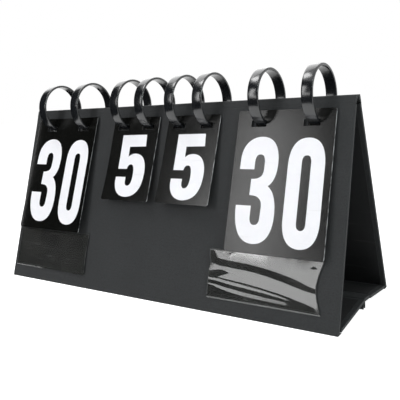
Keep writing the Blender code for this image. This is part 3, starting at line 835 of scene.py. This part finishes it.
def wear_edges(material, colour):
    """Shows a colour in patches where the mesh's cut_edge layer marks it: worn cut edges, and a painted
    highlight along them.
    """
    tree = material.node_tree
    base = tree.nodes["Principled BSDF"].inputs["Base Color"]
    patches = place_group(tree, CLOUDY_TONE, Scale=160.0, Low=-0.2, High=1.7).outputs["Tone"]
    marked = node(tree, "ShaderNodeAttribute", attribute_name="cut_edge").outputs["Fac"]
    pale_mark = node(tree, "ShaderNodeMath", {0: marked, 1: patches}, operation="MULTIPLY", use_clamp=True)
    tree.links.new(mixed(tree, pale_mark.outputs[0], base.links[0].from_socket, colour), base)


CARD_PLASTIC = build_surface(
    "satin_black_card", 28.0, (0.0036, 0.0037, 0.0033), (0.0056, 0.0057, 0.0052), marks=(900.0, 22.0),
    dusty=(0.025, 0.025, 0.024), rough=(0.19, 0.23), rub_roughness=0.03, grain=(3600.0, 0.12, 0.00004))
# Pale grey in patches on the cut edges and along the right edge: partly wear, partly a painted highlight
# where the edge catches light
wear_edges(CARD_PLASTIC, (0.42, 0.43, 0.44))
WHITE_PRINT = build_surface(
    "white_print", 70.0, (0.88, 0.875, 0.92), (0.92, 0.915, 0.95), marks=(800.0, 26.0),
    rubbed=(0.86, 0.855, 0.89), dusty=(0.62, 0.62, 0.63), rough=(0.34, 0.42),
    grain=(3600.0, 0.15, 0.00004), Specular_IOR_Level=0.4)

# Outlines of the numerals in millimetres, as move, line and curve steps. Large ones are measured from
# the middle of a points card, small ones from the middle of a sets card.
LARGE_DIGITS = {
    "3": ["M -39.1 9.3 L -24.6 9.3 L -24.6 14.6 C -24.6 20.2 -22.9 22.4 -19.8 22.4 C -16.6 22.4 -14.9 "
          "19.7 -14.9 14.6 C -14.9 6.9 -15.6 4.3 -17.9 2.9 C -19.7 1.6 -22.7 1 -26.5 1 L -26.8 -12.9 C "
          "-22.2 -12.9 -19.2 -13.5 -17.2 -15.3 C -14.9 -17.3 -14.3 -19.3 -14.3 -23.3 L -14.6 -32 C -14.7 "
          "-35.6 -16.4 -37.9 -19.3 -37.9 C -22.4 -37.9 -24.1 -35.4 -24.1 -31.2 L -24.1 -21.9 L -39.1 "
          "-21.9 C -39.1 -27.3 -38.8 -31.3 -37.9 -35.4 C -35.7 -46.8 -29.7 -53.6 -19.3 -53.6 C -7.7 "
          "-53.6 -1.2 -44.8 -1 -29.3 C -0.9 -18.3 -3.2 -9.3 -9.8 -4.7 C -4.4 -1.3 -2 6.2 -2.1 15.2 C "
          "-2.2 29.7 -8.2 37.8 -19.6 37.8 C -31 37.8 -38.6 30.2 -38.9 18.2 Z"],
    "0": ["M 7.1 12.7 C 7.1 27.7 12.3 36.7 23.8 36.7 C 35.3 36.7 40 27.7 40 12.7 L 40 -31.3 C 40 -45.3 "
          "34.8 -54.3 23.6 -54.3 C 12.3 -54.3 7.1 -45.3 7.1 -31.3 Z",
          "M 19.5 15.7 C 19.5 19.7 20.8 21.9 23.7 21.9 C 26.5 21.9 27.8 19.7 27.8 15.7 L 27.8 -33.3 C "
          "27.8 -37.3 26.5 -39.5 23.7 -39.5 C 20.8 -39.5 19.5 -37.3 19.5 -33.3 Z"],
    "2": ["M -38.2 9.3 L -24.8 9.3 L -24.8 14.7 C -24.8 20.2 -23.2 22.4 -20 22.4 C -16.6 22.4 -15 19.7 "
          "-15 14.7 C -15 9.2 -16.4 5.2 -19.7 -0.8 L -34.7 -27.3 C -37.7 -32.8 -38.8 -36.8 -38.8 -43.3 L "
          "-38.8 -52.7 L -1.8 -52.7 L -1.8 -38.1 L -21.8 -38.1 L -7.2 -10.8 C -2.7 -2.3 -1.2 4.7 -1.2 "
          "14.2 C -1.2 29.7 -7.7 37.8 -19.7 37.8 C -31.7 37.8 -38.2 30.2 -38.2 16.7 Z"],
    "9": ["M 7.4 -25 L 7.4 -31.3 C 7.4 -45.8 12.8 -54.3 23.8 -54.3 C 35.3 -54.3 40.1 -45.3 40.1 -27.3 L "
          "40.1 10.7 C 40.1 28.2 35.3 36.7 23.8 36.7 C 12.3 36.7 7.2 28.2 7.2 12.7 L 7.2 1.7 C 7.2 -10.8 "
          "11.3 -17.8 19.3 -17.8 C 23.3 -17.8 26.3 -16.3 27.8 -13.3 L 27.8 -31.3 C 27.8 -36.8 26.6 -39.5 "
          "23.8 -39.5 C 21 -39.5 20 -36.8 20 -31.3 L 20 -25 Z",
          "M 19.6 15.7 C 19.6 19.7 20.8 21.9 23.7 21.9 C 26.6 21.9 27.8 19.7 27.8 15.7 L 27.8 2.7 C 27.8 "
          "-1.8 26.6 -4 23.7 -4 C 20.8 -4 19.6 -1.8 19.6 2.7 Z"],
}
SMALL_DIGITS = {
    "5": ["M -15.3 24 L 16.1 24.2 L 17.1 12.3 L -3.9 12 L -3.7 1.6 C -1.5 3.9 1.9 5 5.9 4.9 C 15.4 4.6 "
          "20.5 -2.5 20.4 -14.5 C 20.3 -29 14.4 -37.4 2.4 -38.6 C -8.6 -39.4 -15.3 -33 -15.9 -23 L -15.9 "
          "-18.8 L -2.9 -18.8 L -2.8 -23 C -2.6 -26 -1.3 -27.5 0.9 -27.5 C 4.7 -27.4 6.1 -23.5 6.1 -17 C "
          "6.1 -9.5 4.7 -6 1.4 -6 C -1.2 -6 -2.7 -7.6 -3.1 -10.6 L -14.9 -10.6 Z"],
    "4": ["M 2.5 -38.2 L 14.9 -38.2 L 14.9 -24.5 L 20.1 -24.5 L 20.1 -13.8 L 14.9 -13.8 L 14.9 24.2 L "
          "1.5 24.2 L -15.7 -13.4 L -15.7 -24.5 L 2.5 -24.5 Z",
          "M 2.9 -13.8 L 2.9 8.5 L -6.5 -13.8 Z"],
}
CARD_KINDS = {
    "points": dict(size=(92.5 * MM, 122.8 * MM), margin=8.8 * MM, pitch=50.0 * MM, last=30),
    "sets": dict(size=(60.0 * MM, 85.0 * MM), margin=7.4 * MM, pitch=32.4 * MM, last=5),
}


def outline(path, curve_steps=12):
    """The points of an outline given as move, line and curve steps."""
    words = path.split()
    points = []
    index = 0
    while index < len(words):
        step = words[index]
        count = {"M": 2, "L": 2, "C": 6, "Z": 0}[step]
        values = [float(word) * MM for word in words[index + 1:index + 1 + count]]
        if step in "ML":
            points.append(tuple(values))
        elif step == "C":
            hold = (points[-1], values[0:2], values[2:4], values[4:6])
            for k in range(1, curve_steps + 1):
                t = k / curve_steps
                weights = ((1 - t) ** 3, 3 * t * (1 - t) ** 2, 3 * t * t * (1 - t), t ** 3)
                points.append(tuple(sum(w * p[axis] for w, p in zip(weights, hold)) for axis in (0, 1)))
        index += 1 + count
    return points


def rounded_box(low, high, radius, steps=4):
    points = []
    centres = [(high[0] - radius, high[1] - radius), (low[0] + radius, high[1] - radius),
               (low[0] + radius, low[1] + radius), (high[0] - radius, low[1] + radius)]
    for quarter, (x, y) in enumerate(centres):
        for step in range(steps + 1):
            angle = (quarter + step / steps) * math.pi / 2
            points.append((x + radius * math.cos(angle), y + radius * math.sin(angle)))
    return points


def inside(point, loop):
    """Whether a point lies inside a closed outline."""
    x, y = point
    within = False
    for (x0, y0), (x1, y1) in zip(loop, loop[1:] + loop[:1]):
        if (y0 > y) != (y1 > y) and x < x0 + (y - y0) * (x1 - x0) / (y1 - y0):
            within = not within
    return within


def near_loop(point, loop, gap):
    return any((point[0] - x) ** 2 + (point[1] - y) ** 2 < gap * gap for x, y in loop)


def long_edges_cut(loop, longest):
    """The same outline with its long sides cut into shorter ones."""
    points = []
    for first, second in zip(loop, loop[1:] + loop[:1]):
        count = max(1, math.ceil(math.dist(first, second) / longest))
        (x, y), (dx, dy) = first, (second[0] - first[0], second[1] - first[1])
        points += [(x + dx * k / count, y + dy * k / count) for k in range(count)]
    return points


def fill(loops, spacing, rim=0.0):
    """Triangles that fill outlines, the ones inside another being holes. A rim adds a line of points that
    far inside the first outline."""
    loops = [long_edges_cut(loop, spacing * 1.2) for loop in loops]
    points, edges = [], []
    lines = loops
    if rim:
        far = [max(abs(x) for x, y in loops[0]), max(abs(y) for x, y in loops[0])]
        lines = loops + [[(x * (1 - rim / far[0]), y * (1 - rim / far[1])) for x, y in loops[0]]]
    for loop in lines:
        start = len(points)
        points += [Vector(p) for p in loop]
        edges += [(start + k, start + (k + 1) % len(loop)) for k in range(len(loop))]
    xs = [p.x for p in points]
    ys = [p.y for p in points]
    columns = even_steps(min(xs), max(xs), spacing)
    for row, y in enumerate(even_steps(min(ys), max(ys), spacing * 0.87)):
        for x in columns:
            spot = (x + (spacing / 2 if row % 2 else 0.0), y)
            depth = sum(inside(spot, loop) for loop in loops)
            if depth % 2 and not any(near_loop(spot, loop, spacing * 0.45) for loop in lines):
                points.append(Vector(spot))
    verts, _, faces, _, _, _ = delaunay_2d_cdt(points, edges, [], 1, 1e-7)
    kept = []
    for face in faces:
        middle = (sum(verts[i].x for i in face) / len(face), sum(verts[i].y for i in face) / len(face))
        if sum(inside(middle, loop) for loop in loops) % 2:
            kept.append(list(face))
    return [(v.x, v.y) for v in verts], kept


def add_card_sheet(shape, flat, surface, thickness, pale_from, wear):
    """Adds a filled outline, bent to surface(x, y), to a bmesh. Its cut edge is marked, and so is its face
    beyond pale_from in X."""
    points, faces = flat
    layers = shape.verts.layers.float
    # The mark makes the cut edges and the face near the right edge pale: worn edges and a painted highlight
    mark = layers.get("cut_edge") or layers.new("cut_edge")
    outer, inner = [], []
    for x, y in points:
        z = surface(x, y)
        outer.append(shape.verts.new((x, y, z + thickness / 2)))
        inner.append(shape.verts.new((x, y, z - thickness / 2)))
        if x > pale_from:
            outer[-1][mark] = wear
    sides = set()
    for face in faces:
        area = sum(points[a][0] * points[b][1] - points[b][0] * points[a][1]
                   for a, b in zip(face, face[1:] + face[:1]))
        face = face if area > 0 else face[::-1]
        shape.faces.new([outer[i] for i in face])
        shape.faces.new([inner[i] for i in reversed(face)])
        sides.update(zip(face, face[1:] + face[:1]))
    for a, b in sorted(sides):
        if (b, a) not in sides:
            rim = [shape.verts.new(v.co) for v in (outer[b], outer[a], inner[a], inner[b])]
            for vertex in rim:
                vertex[mark] = wear
            shape.faces.new(rim)


def hanging_place(card, thickness, way):
    """Frame of a card from its solid: origin at its middle, Y up the card, Z away from its panel."""
    low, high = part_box(card)
    depth, rise = high.y - low.y, high.z - low.z
    tilt = math.atan2(depth, rise)
    # Box and thickness give the tilt, in rounds until it settles
    for _ in range(30):
        tilt = math.atan2(depth - thickness * math.cos(tilt), rise - thickness * math.sin(tilt))
    turned = Matrix.Rotation(0.0 if way > 0 else math.pi, 4, "Z")
    return Matrix.Translation((low + high) / 2) @ turned @ Matrix.Rotation(math.pi / 2 - tilt, 4, "X")


def card_outline(kind, nudge=(0.0, 0.0)):
    width, height = kind["size"]
    loops = [rounded_box((-width / 2, -height / 2), (width / 2, height / 2), CARD_CORNER)]
    top = height / 2 - kind["margin"]
    for way in (-1, 1):
        middle = way * kind["pitch"] / 2
        half = CARD_SLOT[0] / 2
        low, high = (middle - half, top - CARD_SLOT[1]), (middle + half, top)
        loops.append(rounded_box(low, high, CARD_SLOT_CORNER, 2))
    return [[(x + nudge[0], y + nudge[1]) for x, y in loop] for loop in loops]


def print_number(name, number, surface, face, thickness, place, body):
    """White numerals just proud of one face of a card. Face is 1 for the outer one, -1 for the inner."""
    digits = SMALL_DIGITS if number < 10 else LARGE_DIGITS
    loops = [outline(path) for digit in str(number) for path in digits[digit]]
    points, faces = fill(loops, BENT_SPACING)
    shape = bmesh.new()
    verts = []
    for x, y in points:
        z = surface(face * x, y) + face * (thickness / 2 + PRINT_LIFT)
        verts.append(shape.verts.new((face * x, y, z)))
    for ring in faces:
        made = shape.faces.new([verts[i] for i in ring])
        made.normal_update()
        if made.normal.z * face < 0:
            made.normal_flip()
    piece = add_piece(name, shape, WHITE_PRINT, place)
    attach(piece, body)


def build_card(cad, kind, way, bend, body, prints=(), count=1):
    """One card, or a bundle of loose cards in the place of one thicker solid."""
    width, height = kind["size"]
    place = hanging_place(cad, CARD_THICKNESS * count, way)
    thickness = CARD_THICKNESS if count == 1 else SHEET_THICKNESS
    spacing = FLAT_SPACING if bend is still else BENT_SPACING
    shape = bmesh.new()
    for index in range(count):
        offset, nudge = (index - (count - 1) / 2) * CARD_THICKNESS, (0.0, 0.0)
        if count > 1:
            # Not noise_vector, which changes from run to run
            spot = place.translation
            *nudge, off = [noise.noise(Vector((index * 3.1 + shift, spot.x * 40, spot.y * 90))) * far * MM
                           for shift, far in CARD_DRIFTS]
            offset += off

        def surface(x, y, offset=offset):
            return offset + bend(x / (width / 2), 0.5 - y / height)

        # A line of points bounds the pale right edge band, which is partly wear and partly a painted
        # highlight
        flat = fill(card_outline(kind, nudge), spacing, PALE_EDGE_RIM if count == 1 else 0.0)
        add_card_sheet(shape, flat, surface, thickness, width / 2 - 0.3 * PALE_EDGE_RIM, EDGE_WEAR_AND_HIGHLIGHT[way])
    name = cad.replace("_card_", "_flip_card_").replace("_cards_", "_flip_cards_")
    card = add_piece(name, shape, CARD_PLASTIC, place, flat_angle=30)
    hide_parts(cad)
    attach(card, body)
    for face, number in prints:
        side = "outer" if face > 0 else "inner"
        print_number(f"{name}_print_{side}", number, surface, face, thickness, place, body)


def still(u, v):
    return 0.0


# Bend of each front card: u runs across it from -1 to 1, v down it from 0 to 1
FRONT_BENDS = {
    "left_points": lambda u, v: MM * (-0.6 - 0.8 * v + 0.3 * u * u + 1.5 * u ** 8),
    "left_sets": lambda u, v: MM * ((v - 0.1) * (0.9 * u - 1.2) + 3.2 * v ** 4 * (0.55 - 0.45 * u)),
    "right_sets": lambda u, v: MM * (v * v - 0.35 * v) + 1.6 * MM * v ** 4 * (0.55 - 0.45 * u),
    "right_points": lambda u, v: 0.3 * MM * (1 - u * u) * (0.3 + 0.7 * v),
}
for stack, front_bend in FRONT_BENDS.items():
    kind_name = stack.split("_")[1]
    kind = CARD_KINDS[kind_name]
    last = kind["last"]
    build_card(f"{stack}_card_{last}", kind, 1, front_bend, f"{stack}_{last}", prints=[(1, last)])
    build_card(f"{stack}_card_{last - 1}", kind, -1, still, f"{stack}_{last - 1}",
               prints=[(1, last), (-1, last - 1)])
    if kind_name == "points":
        for low, high in ((0, 5), (6, 11), (12, 17), (18, 23), (24, 28)):
            build_card(f"{stack}_cards_{low:02d}_{high:02d}", kind, -1, still, "rear_panel",
                       prints=[(1, 29)] if high == 28 else (), count=high - low + 1)
    else:
        for number in range(4):
            build_card(f"{stack}_card_{number}", kind, -1, still, "rear_panel",
                       prints=[(1, 4)] if number == 3 else ())

# NAME POCKETS
# Clear soft film with a pressed rim, fixed to the front panel with stitches along its left side and foot.
# The right one has stretched into folds between bright swells, and the left one lies almost flat.
POCKET_SIZE = (106.5 * MM, 41.5 * MM)
POCKET_FOOT = 12.5 * MM
POCKET_LEFT = {"left": -188.3 * MM, "right": 70.5 * MM}
FILM_PULL = {"left": 0.8 * MM, "right": 5.0 * MM}
# Small dents of the right film and their half size, in millimetres
DENTS = [(169.0, 48.6), (93.0, 52.2)]
DENT_SIZE = (1.6, 0.6)
DENT_DEPTH = 0.16 * MM
FILM_THICKNESS = 0.25 * MM
FILM_LIFT = 0.45 * MM
# Slope of the right film where it stands off in a dark fold; between the folds it lies back again
DARK_SLOPE = 0.066
BACK_SLOPES = (-0.014, 0.008)
BACK_LEVEL = 0.6 * MM
BACK_REACH = 15 * MM
STITCH_LENGTH = 1.35 * MM
STITCH_PITCH = 2.0 * MM
STITCH_RADIUS = 0.17 * MM
CLEAR_FILM = build_surface(
    "clear_film", 40.0, (0.030, 0.031, 0.030), (0.052, 0.053, 0.050), marks=(700.0, 34.0),
    rubbed=(0.11, 0.11, 0.11), rough=(0.05, 0.10), IOR=2.1, Alpha=0.6)
# The pressed rim is dark, with pale patches that are a painted highlight along the film's edge
SEAM_WITH_PAINTED_HIGHLIGHT = build_surface(
    "pressed_film_edge_painted_highlight", 150.0, (0.016, 0.017, 0.017), (0.060, 0.063, 0.063), rough=(0.25, 0.4))


def build_thread():
    material, tree, shader = new_material("grey_thread", Roughness=0.8)
    place = node(tree, "ShaderNodeTexCoord").outputs["Object"]
    twist = node(tree, "ShaderNodeTexWave", {"Vector": place, "Scale": 900.0, "Distortion": 1.0},
                 bands_direction="DIAGONAL")
    colour = mixed(tree, twist.outputs["Fac"], (0.09, 0.094, 0.09), (0.24, 0.25, 0.24))
    tree.links.new(colour, shader.inputs["Base Color"])
    bump = node(tree, "ShaderNodeBump", {
        "Strength": 0.5, "Distance": 0.00005, "Height": twist.outputs["Fac"]})
    tree.links.new(bump.outputs["Normal"], shader.inputs["Normal"])
    return material


THREAD = build_thread()

# The dark folds of the right film in millimetres, as places along it with their lower and upper edges
FOLDS = [
    [(66, 43, 53.4), (78, 41, 53), (81, 40.3, 47), (90, 40, 46.2), (100, 39.5, 45.6), (110, 39, 45),
     (120, 38, 44), (130, 36.5, 42.7), (140, 34.7, 41), (150, 32.8, 39), (160, 30.8, 36.5),
     (168, 29.5, 34), (178, 28.6, 32)],
    [(66, 30, 34), (78, 30.5, 37), (82, 31.8, 37.6), (86, 33.2, 37.3), (90, 34.6, 36.2), (92, 35.3, 35.3)],
    [(66, 30.2, 31.8), (80, 29.6, 30.9), (90, 28.8, 30), (100, 28, 29.3), (110, 27, 28.4), (120, 26, 27.4),
     (130, 24.8, 26), (140, 23.4, 24.6), (150, 21.6, 22.8), (156, 20, 21.6), (165, 18, 20), (172, 16, 18)],
    [(66, 25.6, 28.4), (80, 24.5, 27.4), (90, 23.3, 26), (100, 22.3, 25.2), (110, 21.4, 24.4),
     (120, 20.8, 23.6), (130, 20.1, 22.6), (140, 19.6, 21.5), (150, 18.8, 20.2), (153, 17.2, 20),
     (172, 16, 18)],
    [(66, 15.8, 24.5), (75, 15.6, 23.3), (80, 16.4, 21.7), (85, 17.1, 20.8), (90, 17, 20),
     (100, 16.2, 18.6), (110, 15.9, 17.7), (120, 15.6, 17.2), (130, 15.3, 16.7), (140, 15.1, 16.3),
     (150, 14.8, 16), (153, 14.6, 20), (160, 14.6, 20.5), (172, 14.6, 17)],
    [(66, 11, 15), (80, 11, 15.6), (90, 11, 16), (100, 11, 15.1), (120, 11, 14.5), (150, 11, 13.8),
     (178, 11, 13)],
]


def is_dark(x, s):
    """How far a spot of the right film, in millimetres, belongs to its dark folds, from 0 to 1."""
    most = 0.0
    for fold in FOLDS:
        for (x0, low0, high0), (x1, low1, high1) in zip(fold, fold[1:]):
            if x0 <= x < x1:
                share = (x - x0) / (x1 - x0)
                low, high = low0 + (low1 - low0) * share, high0 + (high1 - high0) * share
                most = max(most, swell(s, low - 0.2, low + 0.2) * (1 - swell(s, high - 0.2, high + 0.2)))
    return most


def right_film_heights(x, ys):
    """Heights of the right film up one column, from its foot."""
    heights = [0.4 * MM]
    for low, high in zip(ys, ys[1:]):
        dark = is_dark(x / MM, (low + high) / 2 / MM)
        back = max(BACK_SLOPES[0], min(BACK_SLOPES[1], (BACK_LEVEL - heights[-1]) / BACK_REACH))
        heights.append(heights[-1] + (high - low) * (back + (DARK_SLOPE - back) * dark))
    return heights


def smoothed(rows, reach):
    """The rows of heights, each averaged with its neighbours up to reach rows away."""
    result = []
    for index in range(len(rows)):
        near = rows[max(0, index - reach):index + reach + 1]
        result.append([sum(values) / len(near) for values in zip(*near)])
    return result


def stitch_row(shape, start, end, lift):
    """A row of short rounded stitches between two points of the panel face."""
    start, end = Vector(start), Vector(end)
    along = (end - start).normalized()
    across = Vector((-along.y, along.x, 0))
    out = Vector((0, 0, 1))
    count = int((end - start).length / STITCH_PITCH)
    for index in range(count):
        middle = start + along * STITCH_PITCH * (index + 0.5)
        rings = []
        for share, size in ((-0.5, 0.35), (-0.32, 0.9), (0.0, 1.1), (0.32, 0.9), (0.5, 0.35)):
            height = lift + 0.1 * MM * (1 - 4 * share * share)
            centre = middle + along * STITCH_LENGTH * share + out * height
            rings.append([shape.verts.new(
                centre + STITCH_RADIUS * size * (across * math.cos(a) + out * math.sin(a)))
                for a in (k * math.pi / 3 for k in range(6))])
        loft(shape, rings)


def build_pocket(side):
    width, height = POCKET_SIZE
    left = POCKET_LEFT[side]
    right = left + width
    foot, top = POCKET_FOOT, POCKET_FOOT + height
    xs = even_steps(left, right, 1.2 * MM)
    ys = even_steps(foot, top, 0.35 * MM)
    # The stretched film pulls its right edge and a spot of its left edge inwards
    pull = FILM_PULL[side]

    def moved(x, y):
        up = (y - foot) / height
        bow = pull * math.sin(math.pi * min(1.0, max(0.0, up))) ** 1.2
        nip = 0.4 * pull * math.exp(-((up - 0.72) / 0.09) ** 2)
        return x - bow * ((x - left) / width) ** 6 + nip * ((right - x) / width) ** 30

    if side == "right":
        rises = smoothed([right_film_heights(x, ys) for x in xs], 2)
    else:
        rises = [[0.35 * MM + 0.22 * MM * noise.noise(Vector((x * 16, y * 34, 0.7)))
                  + 0.6 * MM * swell(x, -140 * MM, right) * swell(-y, -top, -foot) for y in ys] for x in xs]
    columns = {}
    for x, rise in zip(xs, rises):
        # The left film's foot is pressed down at its left part only
        press = 1.0 if side == "right" else 1 - swell(x, -152 * MM, -140 * MM)
        columns[x] = {y: FILM_LIFT + h * (1 - press * (1 - swell(y - foot, -0.6 * MM, 1.2 * MM)))
                      for y, h in zip(ys, rise)}
    shape = sheet(xs, ys, lambda x, y: columns[x][y], FILM_THICKNESS)
    for vertex in shape.verts:
        vertex.co.x = moved(vertex.co.x, vertex.co.y)
        if side == "right":
            for x, y in DENTS:
                away = math.hypot((vertex.co.x / MM - x) / DENT_SIZE[0],
                                  (vertex.co.y / MM - y) / DENT_SIZE[1])
                vertex.co.z -= DENT_DEPTH * math.exp(-away * away)
    film = add_piece(side + "_pocket_clear_film", shape, CLEAR_FILM, FRONT)
    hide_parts(side + "_pocket_film")
    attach(film, "front_panel")

    # The welded rim lies on the film's edge, and follows its lift above the foot. Its pale patches are a
    # painted highlight along the film's edge.
    rim, outside = 0.5 * MM, 0.2 * MM
    frame_xs = [left - outside, left + rim, *even_steps(left + 4 * MM, right - 4 * MM, 4 * MM),
                right - rim, right + outside]
    frame_ys = [foot - outside, foot + rim, *even_steps(foot + 3 * MM, top - 3 * MM, 2 * MM), top - rim, top]
    strip = sheet(frame_xs, frame_ys, lambda x, y: 0.10 * MM, 0.2 * MM,
                  lambda x, y: frame_xs[1] < x < frame_xs[-2] and frame_ys[1] < y < frame_ys[-2])
    for vertex in strip.verts:
        vertex.co.x = moved(vertex.co.x, vertex.co.y)
        if vertex.co.y > foot + 2 * MM:
            column = min(xs, key=lambda x: abs(x - vertex.co.x))
            vertex.co.z += columns[column][min(ys, key=lambda y: abs(y - vertex.co.y))]
    seam = add_piece(side + "_pocket_seam_strip_painted_highlight", strip, SEAM_WITH_PAINTED_HIGHLIGHT, FRONT)
    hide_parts(side + "_pocket_seam")
    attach(seam, "front_panel")

    thread = bmesh.new()
    lift = FILM_LIFT + 0.02 * MM
    stitch_row(thread, (left + 0.5 * MM, foot, 0), (left + 0.5 * MM, top, 0), lift)
    stitch_row(thread, (left, foot + 0.3 * MM, 0), (right, foot + 0.3 * MM, 0), lift)
    stitch_row(thread, (left + 1 * MM, foot + 2.0 * MM, 0), (right, foot + 2.0 * MM, 0), lift + 0.05 * MM)
    # The right pocket has a row along its upper edge too
    if side == "right":
        stitch_row(thread, (left, top + 0.5 * MM, 0), (right + 1 * MM, top + 0.5 * MM, 0), 0.1 * MM)
    stitches = add_piece(side + "_pocket_stitches", thread, THREAD, FRONT)
    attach(stitches, "front_panel")


build_pocket("left")
build_pocket("right")

# STUDIO
# A white table and backdrop, soft light all round, and softboxes that the cards, the film and the rings
# mirror. A dark curtain and table cloth, which only reflections see, keep the black plastic black.
FLOOR_SIZE = 12.0
FLOOR_GLOW = 0.85
ROOM_LIGHT = 0.40
CURTAIN_RADIUS = 3.0
CURTAIN_HEIGHT = 3.5
CLOTH_START = 0.35
CLOTH_LIFT = 0.5 * MM


def seen_directly(tree):
    """1 for rays from the camera, from a mirror or through a clear film, and 0 for others."""
    path = node(tree, "ShaderNodeLightPath")
    seen = path.outputs["Is Camera Ray"]
    for kind in ("Is Glossy Ray", "Is Transmission Ray"):
        seen = node(tree, "ShaderNodeMath", {0: seen, 1: path.outputs[kind]}, operation="MAXIMUM").outputs[0]
    return seen


def build_floor():
    bpy.ops.mesh.primitive_plane_add(size=FLOOR_SIZE, location=(0, 0, 0))
    floor = bpy.context.object
    floor.name = "studio_floor"
    material, tree, shader = new_material("white_floor", Roughness=1.0, Specular_IOR_Level=0.0)
    shader.inputs["Base Color"].default_value = (0.80, 0.80, 0.80, 1.0)
    glow = node(tree, "ShaderNodeEmission", {"Color": (1, 1, 1, 1), "Strength": FLOOR_GLOW})
    none = node(tree, "ShaderNodeEmission", {"Strength": 0.0})
    chosen = node(tree, "ShaderNodeMixShader", {
        0: seen_directly(tree), 1: none.outputs[0], 2: glow.outputs[0]})
    both = node(tree, "ShaderNodeAddShader", {0: shader.outputs[0], 1: chosen.outputs[0]})
    tree.links.new(both.outputs[0], tree.nodes["Material Output"].inputs["Surface"])
    floor.data.materials.append(material)


def build_world():
    world = bpy.data.worlds.new("studio_world")
    bpy.context.scene.world = world
    world.use_nodes = True
    tree = world.node_tree
    tree.nodes.clear()
    strength = node(tree, "ShaderNodeMapRange", {
        "Value": seen_directly(tree), "To Min": ROOM_LIGHT, "To Max": 1.0}).outputs["Result"]
    light = node(tree, "ShaderNodeBackground", {"Color": (1, 1, 1, 1), "Strength": strength})
    node(tree, "ShaderNodeOutputWorld", {"Surface": light.outputs[0]})


def add_softbox(name, azimuth, elevation, distance, target, size, power):
    """A rectangular lamp seen from target at an azimuth left of -Y and an elevation, in degrees."""
    lamp = bpy.data.lights.new(name, "AREA")
    lamp.shape = "RECTANGLE"
    lamp.size, lamp.size_y = size
    lamp.energy = power
    item = bpy.data.objects.new(name, lamp)
    bpy.context.scene.collection.objects.link(item)
    a, e = math.radians(azimuth), math.radians(elevation)
    item.location = Vector(target) + distance * Vector(
        (-math.sin(a) * math.cos(e), -math.cos(a) * math.cos(e), math.sin(e)))
    item.rotation_euler = (Vector(target) - item.location).to_track_quat("-Z", "Y").to_euler()
    return item


def build_dark_arc(name, material, turn, near, far):
    """A strip round the object that only reflections see, from 42 degrees right of -Y on. Near and far are
    the radius and height of its two edges."""
    shape = bmesh.new()
    rows = []
    steps = 24
    for index in range(steps + 1):
        angle = math.radians(-42 + turn * index / steps)
        rows.append([shape.verts.new((-r * math.sin(angle), -r * math.cos(angle), z))
                     for r, z in (near, far)])
    for first, second in zip(rows, rows[1:]):
        shape.faces.new([first[0], second[0], second[1], first[1]])
    arc = add_piece(name, shape, material)
    arc.visible_camera = False
    arc.visible_diffuse = False
    arc.visible_transmission = False
    return arc


def build_dark_surround():
    material, tree, shader = new_material("dark_curtain", Roughness=1.0, Specular_IOR_Level=0.0)
    shader.inputs["Base Color"].default_value = (0.0, 0.0, 0.0, 1.0)
    build_dark_arc("dark_curtain", material, 137, (CURTAIN_RADIUS, 0.0), (CURTAIN_RADIUS, CURTAIN_HEIGHT))
    cloth = build_dark_arc("dark_table_cloth", material, 152, (CLOTH_START, CLOTH_LIFT),
                           (CURTAIN_RADIUS, CLOTH_LIFT))
    cloth.visible_shadow = False


build_floor()
build_world()
build_dark_surround()
CARD_MIDDLE = (0.132, -0.03, 0.11)
POCKET_MIDDLE = (0.12, -0.05, 0.04)
RINGS_MIDDLE = (0.13, -0.02, 0.18)
add_softbox("front_softbox", 34.5, 22.5, 1.3, CARD_MIDDLE, (0.23, 0.50), 2.0)
add_softbox("low_softbox", 27, 12, 1.3, POCKET_MIDDLE, (0.50, 0.18), 0.95)
add_softbox("high_softbox", 68, 60, 1.3, RINGS_MIDDLE, (0.42, 0.34), 3.9)
right_strip = add_softbox("right_strip", -75, 25, 1.2, RINGS_MIDDLE, (0.15, 0.60), 4.5)
right_strip.data.color = (0.86, 1.0, 0.97)
back_softbox = add_softbox("back_softbox", 132, 38, 1.5, RINGS_MIDDLE, (1.4, 1.4), 11)
back_softbox.visible_diffuse = False
front_fill = add_softbox("front_fill", 12, 32, 2.2, (0, 0, 0.1), (2.4, 1.8), 14)
front_fill.visible_glossy = False

# CAMERA
# The photograph's viewpoint, found from the corners of the panels and the circles of the rings. Angles
# are in radians, and the picture is 400 pixels square.
AZIMUTH = 0.565477
ELEVATION = 0.115366
ROLL = -0.056988
DISTANCE = 0.555661
TARGET = Vector((0.0533985, 0.0363958, 0.1180398))
FOCAL_PIXELS = 555.298
IMAGE_SIZE = 400
PRINCIPAL_POINT = (239.504, 161.759)
SENSOR_WIDTH = 36.0


def build_camera():
    back = Vector((math.sin(AZIMUTH) * math.cos(ELEVATION), -math.cos(AZIMUTH) * math.cos(ELEVATION),
                   math.sin(ELEVATION)))
    level = Vector((0, 0, 1)).cross(back).normalized()
    upright = back.cross(level)
    right = math.cos(ROLL) * level + math.sin(ROLL) * upright
    up = math.cos(ROLL) * upright - math.sin(ROLL) * level
    lens = bpy.data.cameras.new("photo_camera")
    lens.sensor_width = SENSOR_WIDTH
    lens.lens = FOCAL_PIXELS / IMAGE_SIZE * SENSOR_WIDTH
    lens.shift_x = (IMAGE_SIZE / 2 - PRINCIPAL_POINT[0]) / IMAGE_SIZE
    lens.shift_y = (PRINCIPAL_POINT[1] - IMAGE_SIZE / 2) / IMAGE_SIZE
    lens.clip_start = 0.01
    camera = bpy.data.objects.new("photo_camera", lens)
    bpy.context.scene.collection.objects.link(camera)
    turn = Matrix((right, up, back)).transposed().to_4x4()
    camera.matrix_world = Matrix.Translation(TARGET + DISTANCE * back) @ turn
    bpy.context.scene.camera = camera


build_camera()
bpy.context.scene.view_settings.view_transform = "Standard"
